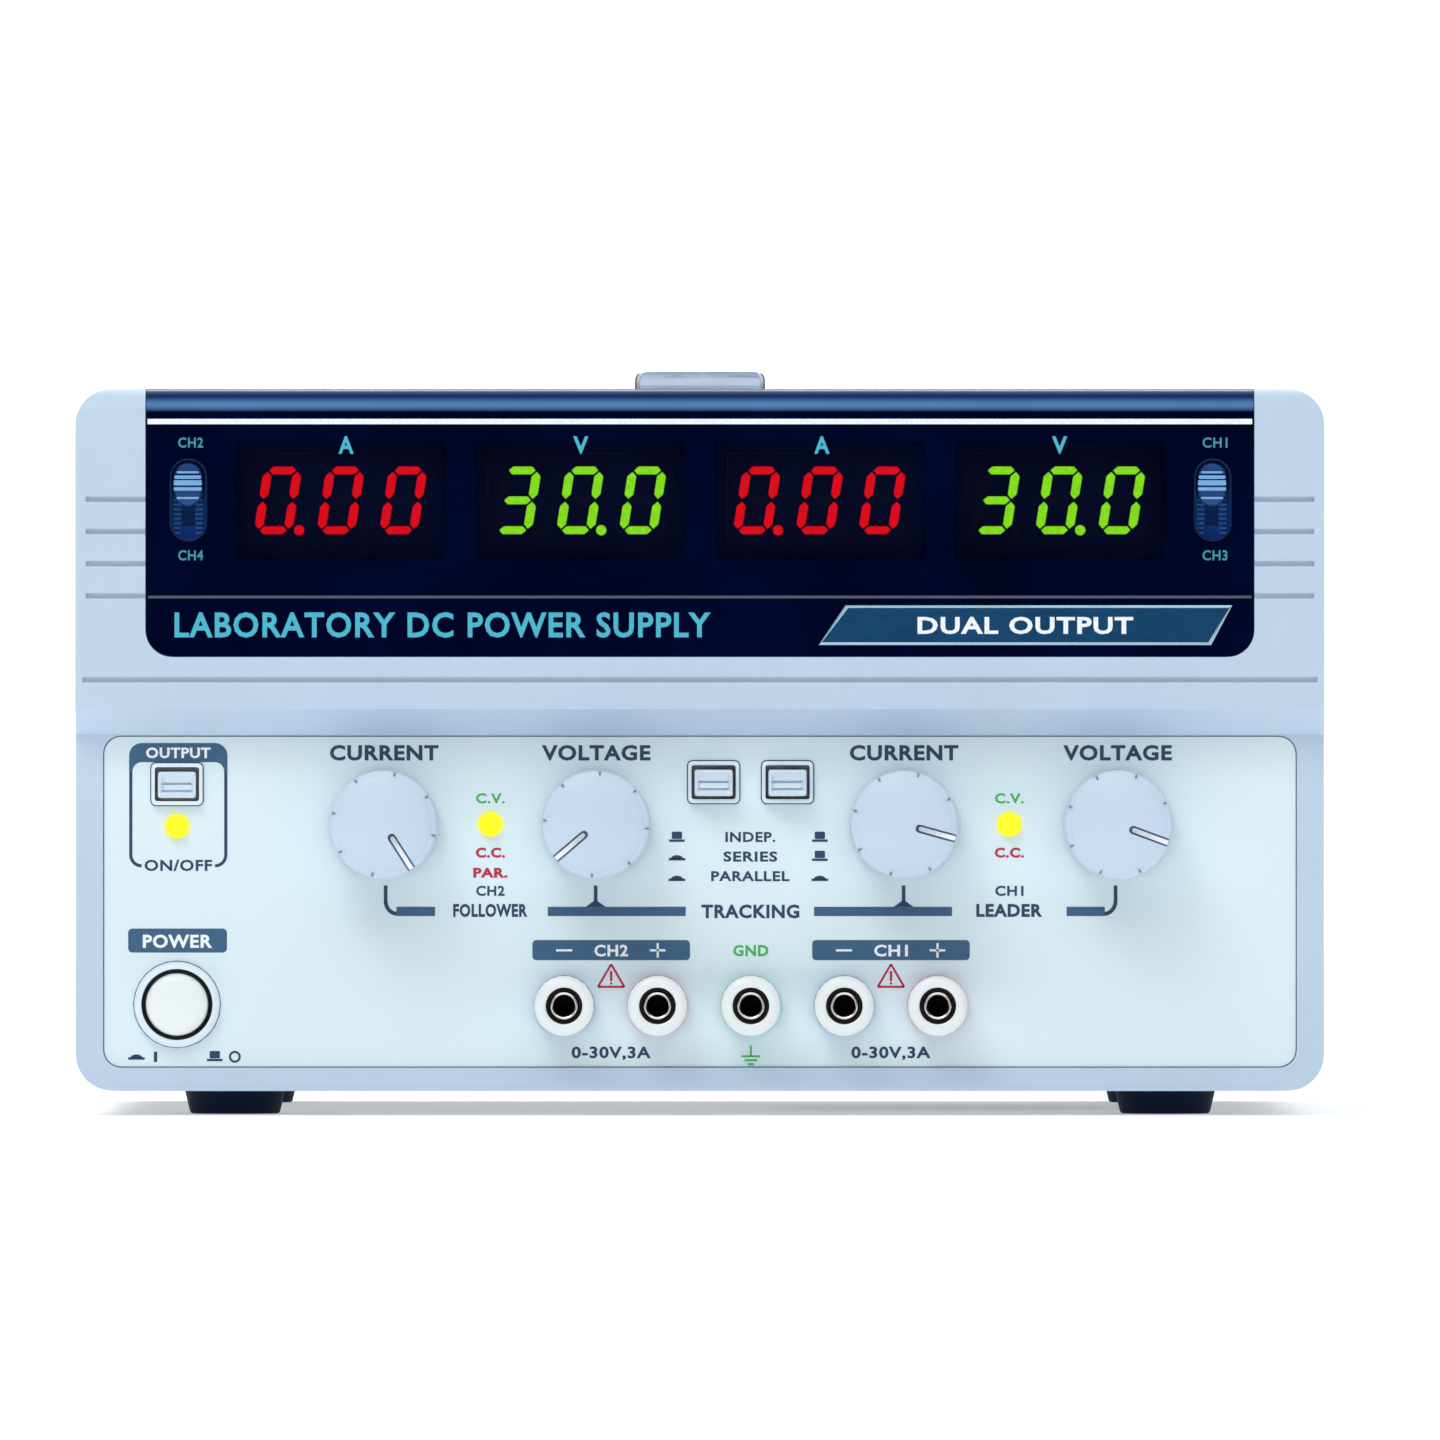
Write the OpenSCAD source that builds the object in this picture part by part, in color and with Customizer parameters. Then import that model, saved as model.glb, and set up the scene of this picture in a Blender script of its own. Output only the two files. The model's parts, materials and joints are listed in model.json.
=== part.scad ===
// Two-channel bench power supply, in millimetres.
// +Z is up, the control panel faces -Y, and the origin is at the centre of the base, under the feet.
// "d" is a depth behind the foremost plane of the front bezel; "at" turns it into Y.

/* [Front bezel] */
// Width of the moulded front bezel
bezel_w = 255; // [254:0.5:258]
// Height of the moulded front bezel
bezel_h = 143.5; // [143:0.5:146]
// Corner radius of the bezel seen from the front
bezel_r = 7.5; // [6:0.5:9]
// How far the bezel skirt reaches back over the case
bezel_depth = 30; // [28:1:34]
// How far the lower face is set back behind the display face
step_d = 7; // [6:0.5:8]
// Radius of the rounded upper front edge
top_r = 5.5; // [5:0.25:6]

/* [Case] */
// Depth from the display face to the rear panel
case_depth = 265; // [262:1:280]
// Thickness of the case sheet
sheet = 1; // [0.8:0.1:1.2]
// Height of the feet below the bezel
foot_h = 5; // [4:0.5:6]
// Distance of each foot from the middle, sideways
foot_x = 95.5; // [85:0.5:100]

/* [Display] */
// Width of the dark window
window_w = 226; // [225:0.5:227]
// Height of the lower edge of the window
window_z = 93.8; // [93:0.1:95]
// Distance between the centres of two meter modules
meter_pitch = 48.9; // [46:0.1:50]
// Height of the centre of the meters
meter_z = 125.7; // [125:0.1:126]
// Distance of each meter selector from the middle
selector_x = 104.5; // [104:0.1:105]
// Travel of each meter selector
selector_travel = 6.6; // [5:0.1:6.8]

/* [Controls] */
// Width of the control panel
panel_w = 243.4; // [242:0.1:244]
// Height of the control panel
panel_h = 67.4; // [66:0.1:68]
// Radius of the rotary knobs
knob_r = 11.1; // [10:0.1:12]
// Height of the knob faces above the control panel
knob_h = 17; // [15:0.5:19]
// Travel of the push buttons
button_travel = 3; // [2:0.25:3]

/* [Terminals] */
// Distance between two binding posts
post_pitch = 19.05; // [18.5:0.05:20]
// Radius of the plug socket in each binding post
socket_r = 2.05; // [2:0.01:2.1]
// Outer radius of the screw caps
cap_r = 6.1; // [5.8:0.1:6.4]

/* [Handle] */
// Width of the chromed end caps
handle_w = 27; // [25:0.5:30]
// Distance between the end caps, centre to centre
handle_span = 170; // [150:5:180]

/* [Hidden] */
$fn = 48;

// Places along the depth
lip = 0.4;                       // the window and the panel lie this far inside their rims, roughly
window_t = 2.4;
window_back = lip + window_t;
panel_d = step_d + 0.6;          // face of the control panel
panel_t = 1.5;
upright_d = 13.5;                // front of the steel upright behind the panel
board_d = 25;                    // front of the control board
display_d = 13;                  // front of the display board
lower_wall = step_d + 3.5;       // inside of the bezel behind the control panel
upper_wall = 4.5;                // inside of the bezel behind the window
guard_out = 4;                   // the fan guard stands this far behind the rear panel
knob_out = knob_h - panel_d;     // the knobs stand this far in front of the bezel
y_front = knob_out - (case_depth + guard_out + knob_out) / 2;

// Places across and up
bezel_z = foot_h;
bezel_top = bezel_z + bezel_h;
skirt = 1.8;
groove_d = 0.8;                  // depth of the grip grooves
slope_top = 83;
slope_bottom = 77.9;
panel_z = 43.7;
panel_r = 3.5;
case_z = bezel_z + 2;
case_top = bezel_top - 2;
case_x = bezel_w / 2 - 2;
case_r = 6;                      // bend radius along the edges of the case
pan_x = case_x - sheet - 0.2;
pan_edge = 15;                   // height of the chassis pan's side walls
knob_x = [-64.5, -21.2, 41.7, 85.3];
knob_z = 59.5;
pointer_angle = [-57.5, 220.5, -15.5, -20.3];    // seen from the front, anticlockwise from +X
tracking_x = [2.8, 17.9];
tracking_z = 68.1;
output_x = -106.8;
output_z = 67.7;
power_z = 22.7;
led_places = [[-106.8, 59.1], [-42.8, 59.5], [63.2, 59.5]];
post_x = [for (i = [-2:2]) 10.4 + i * post_pitch];
post_z = 22.5;
meter_x = [for (i = [-1.5:1.5]) i * meter_pitch];
selector_h = 9.2;                          // height of the sliding thumb piece
selector_rest_z = meter_z + selector_travel / 2;
thumb_w = 6.1;
slot_w = 7.5;
slot_h = 16.8;
foot_d = [44, 238];
fan_x = -62;
fan_z = 84;
fan_bore = 38;
fan_d = 239;
inlet_x = 80;
inlet_z = 50;
recess_z = inlet_z + 6;
drawer_z = inlet_z - 10.5;
handle_d = [137 - handle_span / 2, 137 + handle_span / 2];
handle_top = case_top + 6.3;
strap_z = case_top + 0.3;
strap_t = 2.4;
strap_w = 22;
grip_l = 70;
main_board_z = 18;
main_board_x = [5, 118];
board_posts_x = [11, 112];
board_posts_d = [58, 140, 222];
control_posts_x = [-115.2, -85, 100];
control_posts_z = 73;
display_posts_x = [-100, -35, 35, 100];
display_posts_z = 94.5;
bezel_posts_z = [30, 62];
bezel_posts_x = 121.3;
cover_screws_z = [40, 120];
cover_screws_d = case_depth - 7;
pan_screws_d = 48;
pan_screws_z = case_z + 10.5;
fan_pitch = 35.75;
flange_t = 2;                    // thickness of the mains inlet's flange
inlet_pitch = 20;
core_x = -54;
core_leg = 18;                   // width of an outer leg; the centre leg is twice as wide
core_w = 6 * core_leg;
core_h = 5 * core_leg;
core_d = [66, 126];
core_z = case_z + sheet;
coil_out = 13;                   // how far the coil stands out of the core
clamp_t = 1.5;
clamp_bolt = core_w / 2 + 6.2;

// ---------------------------------------------------------------- helpers

function arc(cx, cy, r, a0, a1, n = 8) = [for (i = [0:n]) let (a = a0 + (a1 - a0) * i / n)
    [cx + r * cos(a), cy + r * sin(a)]];

function rounded(w, h, r) = concat(
    arc(w / 2 - r, h / 2 - r, r, 0, 90), arc(r - w / 2, h / 2 - r, r, 90, 180),
    arc(r - w / 2, r - h / 2, r, 180, 270), arc(w / 2 - r, r - h / 2, r, 270, 360));

// A slot with round ends, standing upright
module slot(w, h) union() {
    square([w, h - w], center = true);
    for (side = [-1, 1]) translate([0, side * (h - w) / 2]) circle(r = w / 2);
}

// A rectangle with round corners, from its low corner to its high corner
module sheet_outline(x, z1, z2, r) union() {
    translate([-x, z1 + r]) square([2 * x, z2 - z1 - 2 * r]);
    translate([r - x, z1]) square([2 * (x - r), z2 - z1]);
    for (side = [-1, 1], z = [z1 + r, z2 - r]) translate([side * (x - r), z]) circle(r = r);
}

// Moves children to a place across, a depth behind the front plane, and a height
module at(x, d, z) translate([x, y_front + d, z]) children();

// Extrudes an outline drawn in X and Z from depth d1 to depth d2
module front_plate(d1, d2) translate([0, y_front + d2, 0]) rotate([90, 0, 0]) linear_extrude(d2 - d1) children();

// Extrudes an outline drawn in depth and Z from x1 to x2
module side_bar(x1, x2) translate([x1, y_front, 0]) rotate([90, 0, 90]) linear_extrude(x2 - x1) children();

// A block from its low corner to its high corner, in x, depth and z
module block(a, b) at(a[0], a[1], a[2]) cube([b[0] - a[0], b[1] - a[1], b[2] - a[2]]);

// A rod along the depth
module rod(x, z, d1, d2, r) at(x, d2, z) rotate([90, 0, 0]) cylinder(r = r, h = d2 - d1);

// Turns a profile of [radius, depth] points about an axis along the depth
module lathe(x, z, points) at(x, 0, z) rotate([-90, 0, 0]) rotate_extrude() polygon(points);

// An upright rod
module post(x, d, z1, z2, r) at(x, d, z1) cylinder(r = r, h = z2 - z1);

// A pan-head screw along the depth, its head behind or in front of depth d by side
module screw_back(x, z, d, l, r, head_r) {
    difference() {
        union() {
            rod(x, z, d - l, d, r);
            rod(x, z, d, d + 1.8, head_r);
        }
        at(x, d + 1.5, z) cube([head_r * 1.2, 1.4, 0.7], center = true);
        at(x, d + 1.5, z) cube([0.7, 1.4, head_r * 1.2], center = true);
    }
}

// A pan-head screw driven down (head on top) or up (up = true)
module screw_vertical(x, d, z, l, r, head_r, up = false) {
    at(x, d, z) mirror([0, 0, up ? 1 : 0]) difference() {
        union() {
            translate([0, 0, -l]) cylinder(r = r, h = l);
            cylinder(r = head_r, h = 1.5);
        }
        translate([0, 0, 1.3]) cube([head_r * 1.2, 0.7, 1.4], center = true);
        translate([0, 0, 1.3]) cube([0.7, head_r * 1.2, 1.4], center = true);
    }
}

// A screw driven in from the side of the case; side is -1 or 1
module screw_side(side, d, z, l, r, head_r) {
    at(side * case_x, d, z) rotate([0, side * 90, 0]) difference() {
        union() {
            translate([0, 0, -l]) cylinder(r = r, h = l);
            cylinder(r = head_r, h = 1.5);
        }
        translate([0, 0, 1.3]) cube([head_r * 1.2, 0.7, 1.4], center = true);
        translate([0, 0, 1.3]) cube([0.7, head_r * 1.2, 1.4], center = true);
    }
}

// A tube swept along a list of [x, depth, z] points
function unit(v) = v / norm(v);
function along(p, i) = unit(p[min(i + 1, len(p) - 1)] - p[max(i - 1, 0)]);
function ring(p, i, r, sides) = let (t = along(p, i), ref = abs(t[2]) < 0.9 ? [0, 0, 1] : [1, 0, 0],
    u = unit(cross(t, ref)), v = cross(t, u))
    [for (k = [0:sides - 1]) p[i] + r * (u * cos(360 * k / sides) + v * sin(360 * k / sides))];
function smooth(p, n) = [for (i = [0:len(p) - 2], k = [0:n - 1]) let (t = k / n,
    a = p[max(i - 1, 0)], b = p[i], c = p[i + 1], e = p[min(i + 2, len(p) - 1)])
    0.5 * ((2 * b) + (c - a) * t + (2 * a - 5 * b + 4 * c - e) * t * t + (3 * b - 3 * c + e - a) * t * t * t)];
module tube(route, r, sides = 6, n = 3) {
    p = concat(smooth(route, n), [route[len(route) - 1]]);
    points = [for (i = [0:len(p) - 1]) each ring(p, i, r, sides)];
    walls = [for (i = [0:len(p) - 2], k = [0:sides - 1]) let (a = i * sides + k, b = i * sides + (k + 1) % sides)
        each [[a, a + sides, b], [b, a + sides, b + sides]]];
    start = [for (k = [0:sides - 1]) k];
    end = [for (k = [sides - 1:-1:0]) (len(p) - 1) * sides + k];
    at(0, 0, 0) polyhedron(points, concat([start], walls, [end]));
}

// ---------------------------------------------------------------- front

module bezel_outline(inset = 0) translate([0, bezel_z + bezel_h / 2])
    polygon(rounded(bezel_w - 2 * inset, bezel_h - 2 * inset, bezel_r - inset));

module bezel_profile() polygon(concat(
    [[bezel_depth, bezel_z]], arc(step_d + 2, bezel_z + 2, 2, 270, 180, 4),
    [[step_d, slope_bottom], [0, slope_top]], arc(top_r, bezel_top - top_r, top_r, 180, 90, 10),
    [[bezel_depth, bezel_top]]));

module bezel_shell() difference() {
    intersection() {
        front_plate(-1, bezel_depth) bezel_outline();
        side_bar(-bezel_w / 2, bezel_w / 2) bezel_profile();
    }
    intersection() {
        front_plate(3, bezel_depth + 1) bezel_outline(skirt);
        union() {
            block([-bezel_w, lower_wall, 0], [bezel_w, bezel_depth + 1, slope_top + 1.5]);
            block([-bezel_w, upper_wall, slope_top + 1.4], [bezel_w, bezel_depth + 1, bezel_top - 4.5]);
            block([-bezel_w, 16, slope_top], [bezel_w, bezel_depth + 1, bezel_top]);
        }
    }
}

module front_bezel() color([0.76, 0.85, 0.93]) difference() {
    union() {
        bezel_shell();
        // bosses for the display board and for the chassis
        for (x = display_posts_x) rod(x, display_posts_z, upper_wall - 0.5, display_d, 2.6);
        for (side = [-1, 1], z = bezel_posts_z) rod(side * bezel_posts_x, z, lower_wall - 0.5, upright_d, 2.8);
    }
    for (x = display_posts_x) rod(x, display_posts_z, upper_wall + 1, display_d + 1, 1.1);
    for (side = [-1, 1], z = bezel_posts_z) rod(side * bezel_posts_x, z, lower_wall - 1, upright_d + 1, 1.1);
    // pocket and opening for the window
    window_blank(0.15, -1);
    block([2.5 - window_w / 2, 0, window_z + 4.5], [window_w / 2 - 2.5, 6, bezel_top - 7]);
    // pocket and opening for the control panel
    front_plate(0, panel_d + panel_t) translate([0, panel_z])
        polygon(rounded(panel_w + 0.4, panel_h + 0.4, panel_r + 0.2));
    front_plate(0, 11) translate([0, panel_z]) polygon(rounded(panel_w - 8, panel_h - 8, 3));
    // grip grooves beside the window, and the line below it
    for (side = [-1, 1], i = [0:3])
        block([side * 119.2 - 6.1, -1, 105.6 + i * 6.57], [side * 119.2 + 6.1, groove_d, 106.7 + i * 6.57]);
    block([-126, -1, 88.5], [126, groove_d, 89.6]);
}

// The window's bent sheet, grown by gap on its edges; outer moves its face, for the pocket in the bezel
module window_blank(gap, outer) {
    r_in = top_r - window_back;
    c = [top_r, bezel_top - top_r];
    intersection() {
        side_bar(-window_w / 2 - gap, window_w / 2 + gap) polygon(concat(
            [[window_back, window_z - gap], [outer, window_z - gap]],
            outer < 0 ? [[outer, bezel_top + 2], [14 + gap, bezel_top + 2]]
                      : concat(arc(c[0], c[1], top_r - lip, 180, 90, 10), [[14, bezel_top - lip]]),
            [[14 + (outer < 0 ? gap : 0), bezel_top - window_back]], arc(c[0], c[1], r_in, 90, 180, 10)));
        front_plate(-2, 20) translate([0, (window_z + bezel_top + 20) / 2])
            polygon(rounded(window_w + 2 * gap, bezel_top + 20 - window_z + 2 * gap, 5.5));
    }
}

module display_window() color([0.02, 0.04, 0.12]) difference() {
    window_blank(0, lip);
    for (side = [-1, 1]) front_plate(-1, 4) translate([side * selector_x, meter_z]) slot(slot_w, slot_h);
    // the shallow line between the meters and the title strip
    block([-window_w, -1, 105.4], [window_w, lip + 0.5, 106.4]);
}

module selector_guides() color([0.03, 0.06, 0.18]) for (side = [-1, 1]) difference() {
    front_plate(window_back + 0.05, window_back + 3.3) translate([side * selector_x, meter_z])
        polygon(rounded(10.2, 19.4, 1));
    front_plate(0, window_back + 2.5) translate([side * selector_x, meter_z]) slot(slot_w, slot_h);
    front_plate(0, 9) translate([side * selector_x, meter_z]) square([2.6, selector_travel + 3.8], center = true);
}

module control_panel() color([0.83, 0.91, 0.94]) difference() {
    front_plate(panel_d, panel_d + panel_t) translate([0, panel_z]) polygon(rounded(panel_w, panel_h, panel_r));
    for (x = knob_x) rod(x, knob_z, 0, 20, 5);
    for (x = tracking_x) front_plate(0, 20) translate([x, tracking_z]) square([10.2, 8.6], center = true);
    front_plate(0, 20) translate([output_x, output_z]) square([10.2, 8.6], center = true);
    rod(output_x, power_z, 0, 20, 8);
    for (p = led_places) rod(p[0], p[1], 0, 20, 2.6);
    for (x = post_x) rod(x, post_z, 0, 20, 4.1);
}

// A rectangular surround for one push button
module button_bezel(x, z) difference() {
    union() {
        front_plate(panel_d - 1.6, panel_d) translate([x, z]) polygon(rounded(10.7, 9.1, 1));
        front_plate(panel_d, panel_d + 4) translate([x, z]) square([10, 8.4], center = true);
    }
    front_plate(0, 20) translate([x, z]) square([8.8, 6.7], center = true);
}

module button_bezels() color([0.86, 0.92, 0.96]) {
    button_bezel(output_x, output_z);
    for (x = tracking_x) button_bezel(x, tracking_z);
}

module power_button_bezel() color([0.86, 0.9, 0.94])
    lathe(output_x, power_z, [[7.1, panel_d - 2.2], [8.2, panel_d - 2.2], [8.75, panel_d - 1.6],
        [8.75, panel_d], [7.9, panel_d], [7.9, panel_d + 4.5], [7.1, panel_d + 4.5]]);

module indicator_leds() color([0.95, 0.95, 0.2]) for (p = led_places) {
    difference() {
        lathe(p[0], p[1], concat([for (i = [0:8]) [2.45 * sin(i * 11.25), panel_d + 0.05 - 2.45 * cos(i * 11.25)]],
            [[2.45, 12.3], [2.9, 12.3], [2.9, 13.3], [0, 13.3]]));
        rod(p[0] - 1.27, p[1], 12, 14, 0.3);
        rod(p[0] + 1.27, p[1], 12, 14, 0.3);
    }
    for (side = [-1, 1]) rod(p[0] + side * 1.27, p[1], 12.1, board_d, 0.28);
}

// ---------------------------------------------------------------- terminals

module post_collar(x) lathe(x, post_z, [[3, panel_d - 2], [6.2, panel_d - 2], [6.5, panel_d - 1.6], [6.5, panel_d],
    [4, panel_d], [4, upright_d + sheet + 1], [3, upright_d + sheet + 1]]);

module negative_post_collars() color([0.2, 0.3, 0.5]) {
    post_collar(post_x[0]);
    post_collar(post_x[3]);
}

module positive_post_collars() color([0.75, 0.1, 0.15]) {
    post_collar(post_x[1]);
    post_collar(post_x[4]);
}

module ground_post_collar() color([0.1, 0.6, 0.35]) post_collar(post_x[2]);

// A metal stud with the plug socket bored into its front end
module post_studs() color([0.8, 0.76, 0.68]) for (x = post_x)
    lathe(x, post_z, [[socket_r + 0.25, -4], [2.95, -4], [2.95, 22], [2, 22], [2, 30], [0, 30], [0, 12],
        [socket_r, 12], [socket_r, -3.7]]);

module post_nuts() color([0.78, 0.78, 0.8]) for (x = post_x) difference() {
    at(x, upright_d + sheet + 4.2, post_z) rotate([90, 0, 0]) cylinder(r = 5.4, h = 3.2, $fn = 6);
    rod(x, post_z, 10, 25, 3);
}

// A screw cap with its black insert
module post_cap(x) {
    color([0.93, 0.94, 0.93]) difference() {
        lathe(x, post_z, [[3.75, -4.2], [4.3, -4.6], [cap_r - 0.7, -4.6], [cap_r, -3.9], [cap_r, 4.8],
            [cap_r - 0.4, 5.3], [3.75, 5.3]]);
        for (i = [0:11]) rotate_about(x, post_z, i * 30) rod(x + cap_r + 0.25, post_z, -3.2, 4.4, 0.6);
    }
    color([0.05, 0.05, 0.06])
        lathe(x, post_z, [[3.05, -4.2], [3.7, -4.2], [3.7, 5.2], [3.05, 5.2]]);
}

// Turns children about an axis along the depth
module rotate_about(x, z, a) translate([x, 0, z]) rotate([0, a, 0]) translate([-x, 0, -z]) children();

// ---------------------------------------------------------------- controls

// A knob of a given index, with the shaft that is pressed into it
module knob(i) {
    x = knob_x[i];
    face = panel_d - knob_h;
    foot = panel_d - 1;
    color([0.75, 0.83, 0.92]) difference() {
        lathe(x, knob_z, [[0, face], [9.2, face], [10.3, face + 0.35], [knob_r - 0.2, face + 1.1],
            [knob_r, foot - 0.4], [knob_r - 0.4, foot], [9.7, foot], [9.5, face + 3], [5.2, face + 3],
            [5.2, foot + 0.3], [3.02, foot + 0.3], [3.02, face + 4], [0, face + 4]]);
        rotate_about(x, knob_z, -pointer_angle[i]) {
            block([x + 3.2, face - 1, knob_z - 0.85], [x + 12, face + 0.6, knob_z + 0.85]);
            rod(x + 3.2, knob_z, face - 1, face + 0.6, 0.85);
        }
        for (k = [1:7]) rotate_about(x, knob_z, -pointer_angle[i] - k * 45)
            rod(x + knob_r + 0.35, knob_z, face - 1, foot + 1, 0.9);
    }
    color([0.7, 0.7, 0.72]) rod(x, knob_z, face + 4.05, 21.5, 3);
}

// A push button cap and its plunger; pressed is how far in it stands
module push_button(x, z, pressed) {
    face = panel_d - 1.6 - 3.1 + pressed;
    back = face + 7.2;
    difference() {
        front_plate(face, back) translate([x, z]) polygon(rounded(7.8, 5.7, 0.5));
        for (dz = [-1.25, 1.25]) block([x - 3.1, face - 1, z + dz - 0.35], [x + 3.1, face + 0.25, z + dz + 0.35]);
    }
    block([x - 1.5, back, z - 1.5], [x + 1.5, back + 5.6, z + 1.5]);
}

module output_button() color([0.84, 0.87, 0.94]) push_button(output_x, output_z, button_travel - 0.5);
module tracking_button_left() color([0.84, 0.87, 0.94]) push_button(tracking_x[0], tracking_z, 0);
module tracking_button_right() color([0.84, 0.87, 0.94]) push_button(tracking_x[1], tracking_z, 0);

module power_button() color([0.88, 0.92, 0.94]) {
    face = panel_d - 3.2;
    lathe(output_x, power_z, concat([[0, face - 0.35], [3, face - 0.25], [5.4, face]],
        [[6.2, face + 0.5], [6.4, face + 1.2], [6.4, face + 8.6], [0, face + 8.6]]));
    block([output_x - 2, face + 8.6, power_z - 2], [output_x + 2, face + 14.5, power_z + 2]);
}

// The thumb piece of a meter selector, with its stem
module meter_selector(side) color([0.2, 0.35, 0.6]) {
    difference() {
        front_plate(lip + 0.6, window_back + 2.3) translate([side * selector_x, selector_rest_z])
            slot(thumb_w, selector_h);
        for (dz = [-1.1, 1.1]) block([side * selector_x - 4, 0, selector_rest_z + dz - 0.4],
            [side * selector_x + 4, lip + 1.2, selector_rest_z + dz + 0.4]);
    }
    block([side * selector_x - 3, lip - 0.3, selector_rest_z - 0.6],
        [side * selector_x + 3, lip + 0.6, selector_rest_z + 0.6]);
    block([side * selector_x - 1, window_back + 2.3, selector_rest_z - 1.5],
        [side * selector_x + 1, 10, selector_rest_z + 1.5]);
}

// ---------------------------------------------------------------- boards and switches

module display_modules() color([0.08, 0.08, 0.09]) for (x = meter_x)
    block([x - 18.8, 5.2, meter_z - 9.5], [x + 18.8, display_d, meter_z + 9.5]);

module display_board() color([0.05, 0.3, 0.15]) difference() {
    block([-112, display_d, 90.5], [112, display_d + 1.6, 143.5]);
    for (x = display_posts_x) rod(x, display_posts_z, 10, 20, 1.4);
}

module control_board() color([0.05, 0.3, 0.15]) difference() {
    block([-118, board_d, 46], [104, board_d + 1.6, 76]);
    for (x = control_posts_x) rod(x, control_posts_z, 20, 30, 1.6);
}

module potentiometers() color([0.45, 0.47, 0.5]) for (x = knob_x) {
    difference() {
        union() {
            rod(x, knob_z, upright_d + sheet + 1, board_d, 8.4);
            rod(x, knob_z, upright_d - 3, upright_d + sheet + 1, 3.5);
        }
        rod(x, knob_z, 0, 22, 3.08);
    }
    difference() {
        at(x, upright_d, knob_z) rotate([90, 0, 0]) cylinder(r = 5.4, h = 2, $fn = 6);
        rod(x, knob_z, 0, 22, 3.5);
    }
}

// The body of one push switch, hollow where its plunger runs
module push_switch(x, z) difference() {
    block([x - 4.8, upright_d + sheet, z - 4], [x + 4.8, board_d, z + 4]);
    block([x - 1.8, 0, z - 1.8], [x + 1.8, 20, z + 1.8]);
}

module push_switches() color([0.85, 0.85, 0.8]) {
    push_switch(output_x, output_z);
    for (x = tracking_x) push_switch(x, tracking_z);
}

module mains_switch() color([0.1, 0.1, 0.11]) difference() {
    block([output_x - 8, upright_d + sheet, power_z - 8], [output_x + 8, 45, power_z + 8]);
    block([output_x - 2.3, 0, power_z - 2.3], [output_x + 2.3, 21, power_z + 2.3]);
}

module meter_selector_switches() color([0.7, 0.7, 0.72]) for (side = [-1, 1]) difference() {
    block([side * selector_x - 4, window_back + 3.6, meter_z - 8.5],
        [side * selector_x + 4, display_d, meter_z + 8.5]);
    block([side * selector_x - 1.4, 0, meter_z - 5.3], [side * selector_x + 1.4, 10.6, meter_z + 5.3]);
}

// A flat cable from the display board's back down to the top edge of the control board
module ribbon_cable() color([0.7, 0.7, 0.72]) side_bar(-12, 12) polygon(concat(
    [[display_d + 1.6, 123]], arc(19.2, 117, 6, 90, 0, 6), [[25.2, 76], [26.2, 76]],
    arc(19.2, 117, 7, 0, 90, 6), [[display_d + 1.6, 124]]));

// ---------------------------------------------------------------- case

module chassis_pan() color([0.72, 0.73, 0.74]) difference() {
    union() {
        front_plate(upright_d, case_depth - 1.1) difference() {
            sheet_outline(pan_x, case_z, case_top, case_r - 1);
            sheet_outline(pan_x - sheet, case_z + sheet, case_top - sheet, case_r - 2);
            translate([-bezel_w, case_z + pan_edge]) square([2 * bezel_w, bezel_h]);
        }
        block([8 - pan_x, upright_d, case_z], [pan_x - 8, case_depth, case_z + sheet]);
        block([-pan_x, upright_d, case_z + 6], [pan_x, upright_d + sheet, 86]);
        block([8 - pan_x, upright_d, case_z], [pan_x - 8, upright_d + sheet, 86]);
    }
    for (x = knob_x) rod(x, knob_z, 10, 18, 3.6);
    for (p = led_places) rod(p[0], p[1], 10, 18, 3.1);
    for (x = post_x) rod(x, post_z, 10, 18, 4.1);
    for (x = tracking_x) block([x - 2.5, 10, tracking_z - 2.5], [x + 2.5, 18, tracking_z + 2.5]);
    block([output_x - 2.5, 10, output_z - 2.5], [output_x + 2.5, 18, output_z + 2.5]);
    block([output_x - 3, 10, power_z - 3], [output_x + 3, 18, power_z + 3]);
    for (side = [-1, 1], z = bezel_posts_z) rod(side * bezel_posts_x, z, 10, 18, 1.6);
    for (side = [-1, 1], d = foot_d) post(side * foot_x, d, 0, 20, 1.7);
    for (side = [-1, 1]) post(core_x + side * clamp_bolt, 96, 0, 20, 2.6);
    for (side = [-1, 1]) cross_hole(side, pan_screws_d, pan_screws_z, 1.6);
    // air slots under the boards
    for (i = [0:8]) block([20 + i * 10, 90, 0], [24 + i * 10, 200, 20]);
}

// A hole through one side of the case
module cross_hole(side, d, z, r) at(side * case_x, d, z) rotate([0, 90, 0]) cylinder(r = r, h = 8, center = true);

module rear_panel() color([0.74, 0.8, 0.86]) difference() {
    union() {
        front_plate(case_depth - sheet, case_depth)
            sheet_outline(pan_x, case_z + sheet, case_top - sheet - 0.2, case_r - 1);
        for (side = [-1, 1]) block([side * pan_x - (side > 0 ? sheet : 0), case_depth - 14, case_z + pan_edge + 2],
            [side * pan_x + (side > 0 ? 0 : sheet), case_depth, case_top - 8]);
    }
    rod(fan_x, fan_z, 250, 270, fan_bore);
    for (sx = [-1, 1], sz = [-1, 1]) rod(fan_x + sx * fan_pitch, fan_z + sz * fan_pitch, 250, 270, 2.2);
    block([inlet_x - 13.8, 250, inlet_z - 16.6], [inlet_x + 13.8, 270, inlet_z + 16.6]);
    for (sx = [-1, 1]) rod(inlet_x + sx * inlet_pitch, inlet_z, 250, 270, 1.7);
    for (side = [-1, 1], z = cover_screws_z) cross_hole(side, cover_screws_d, z, 1.6);
    // exhaust slots
    for (i = [0:11]) front_plate(250, 270) translate([20 + i * 8, 112]) slot(3.5, 34);
}

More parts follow.
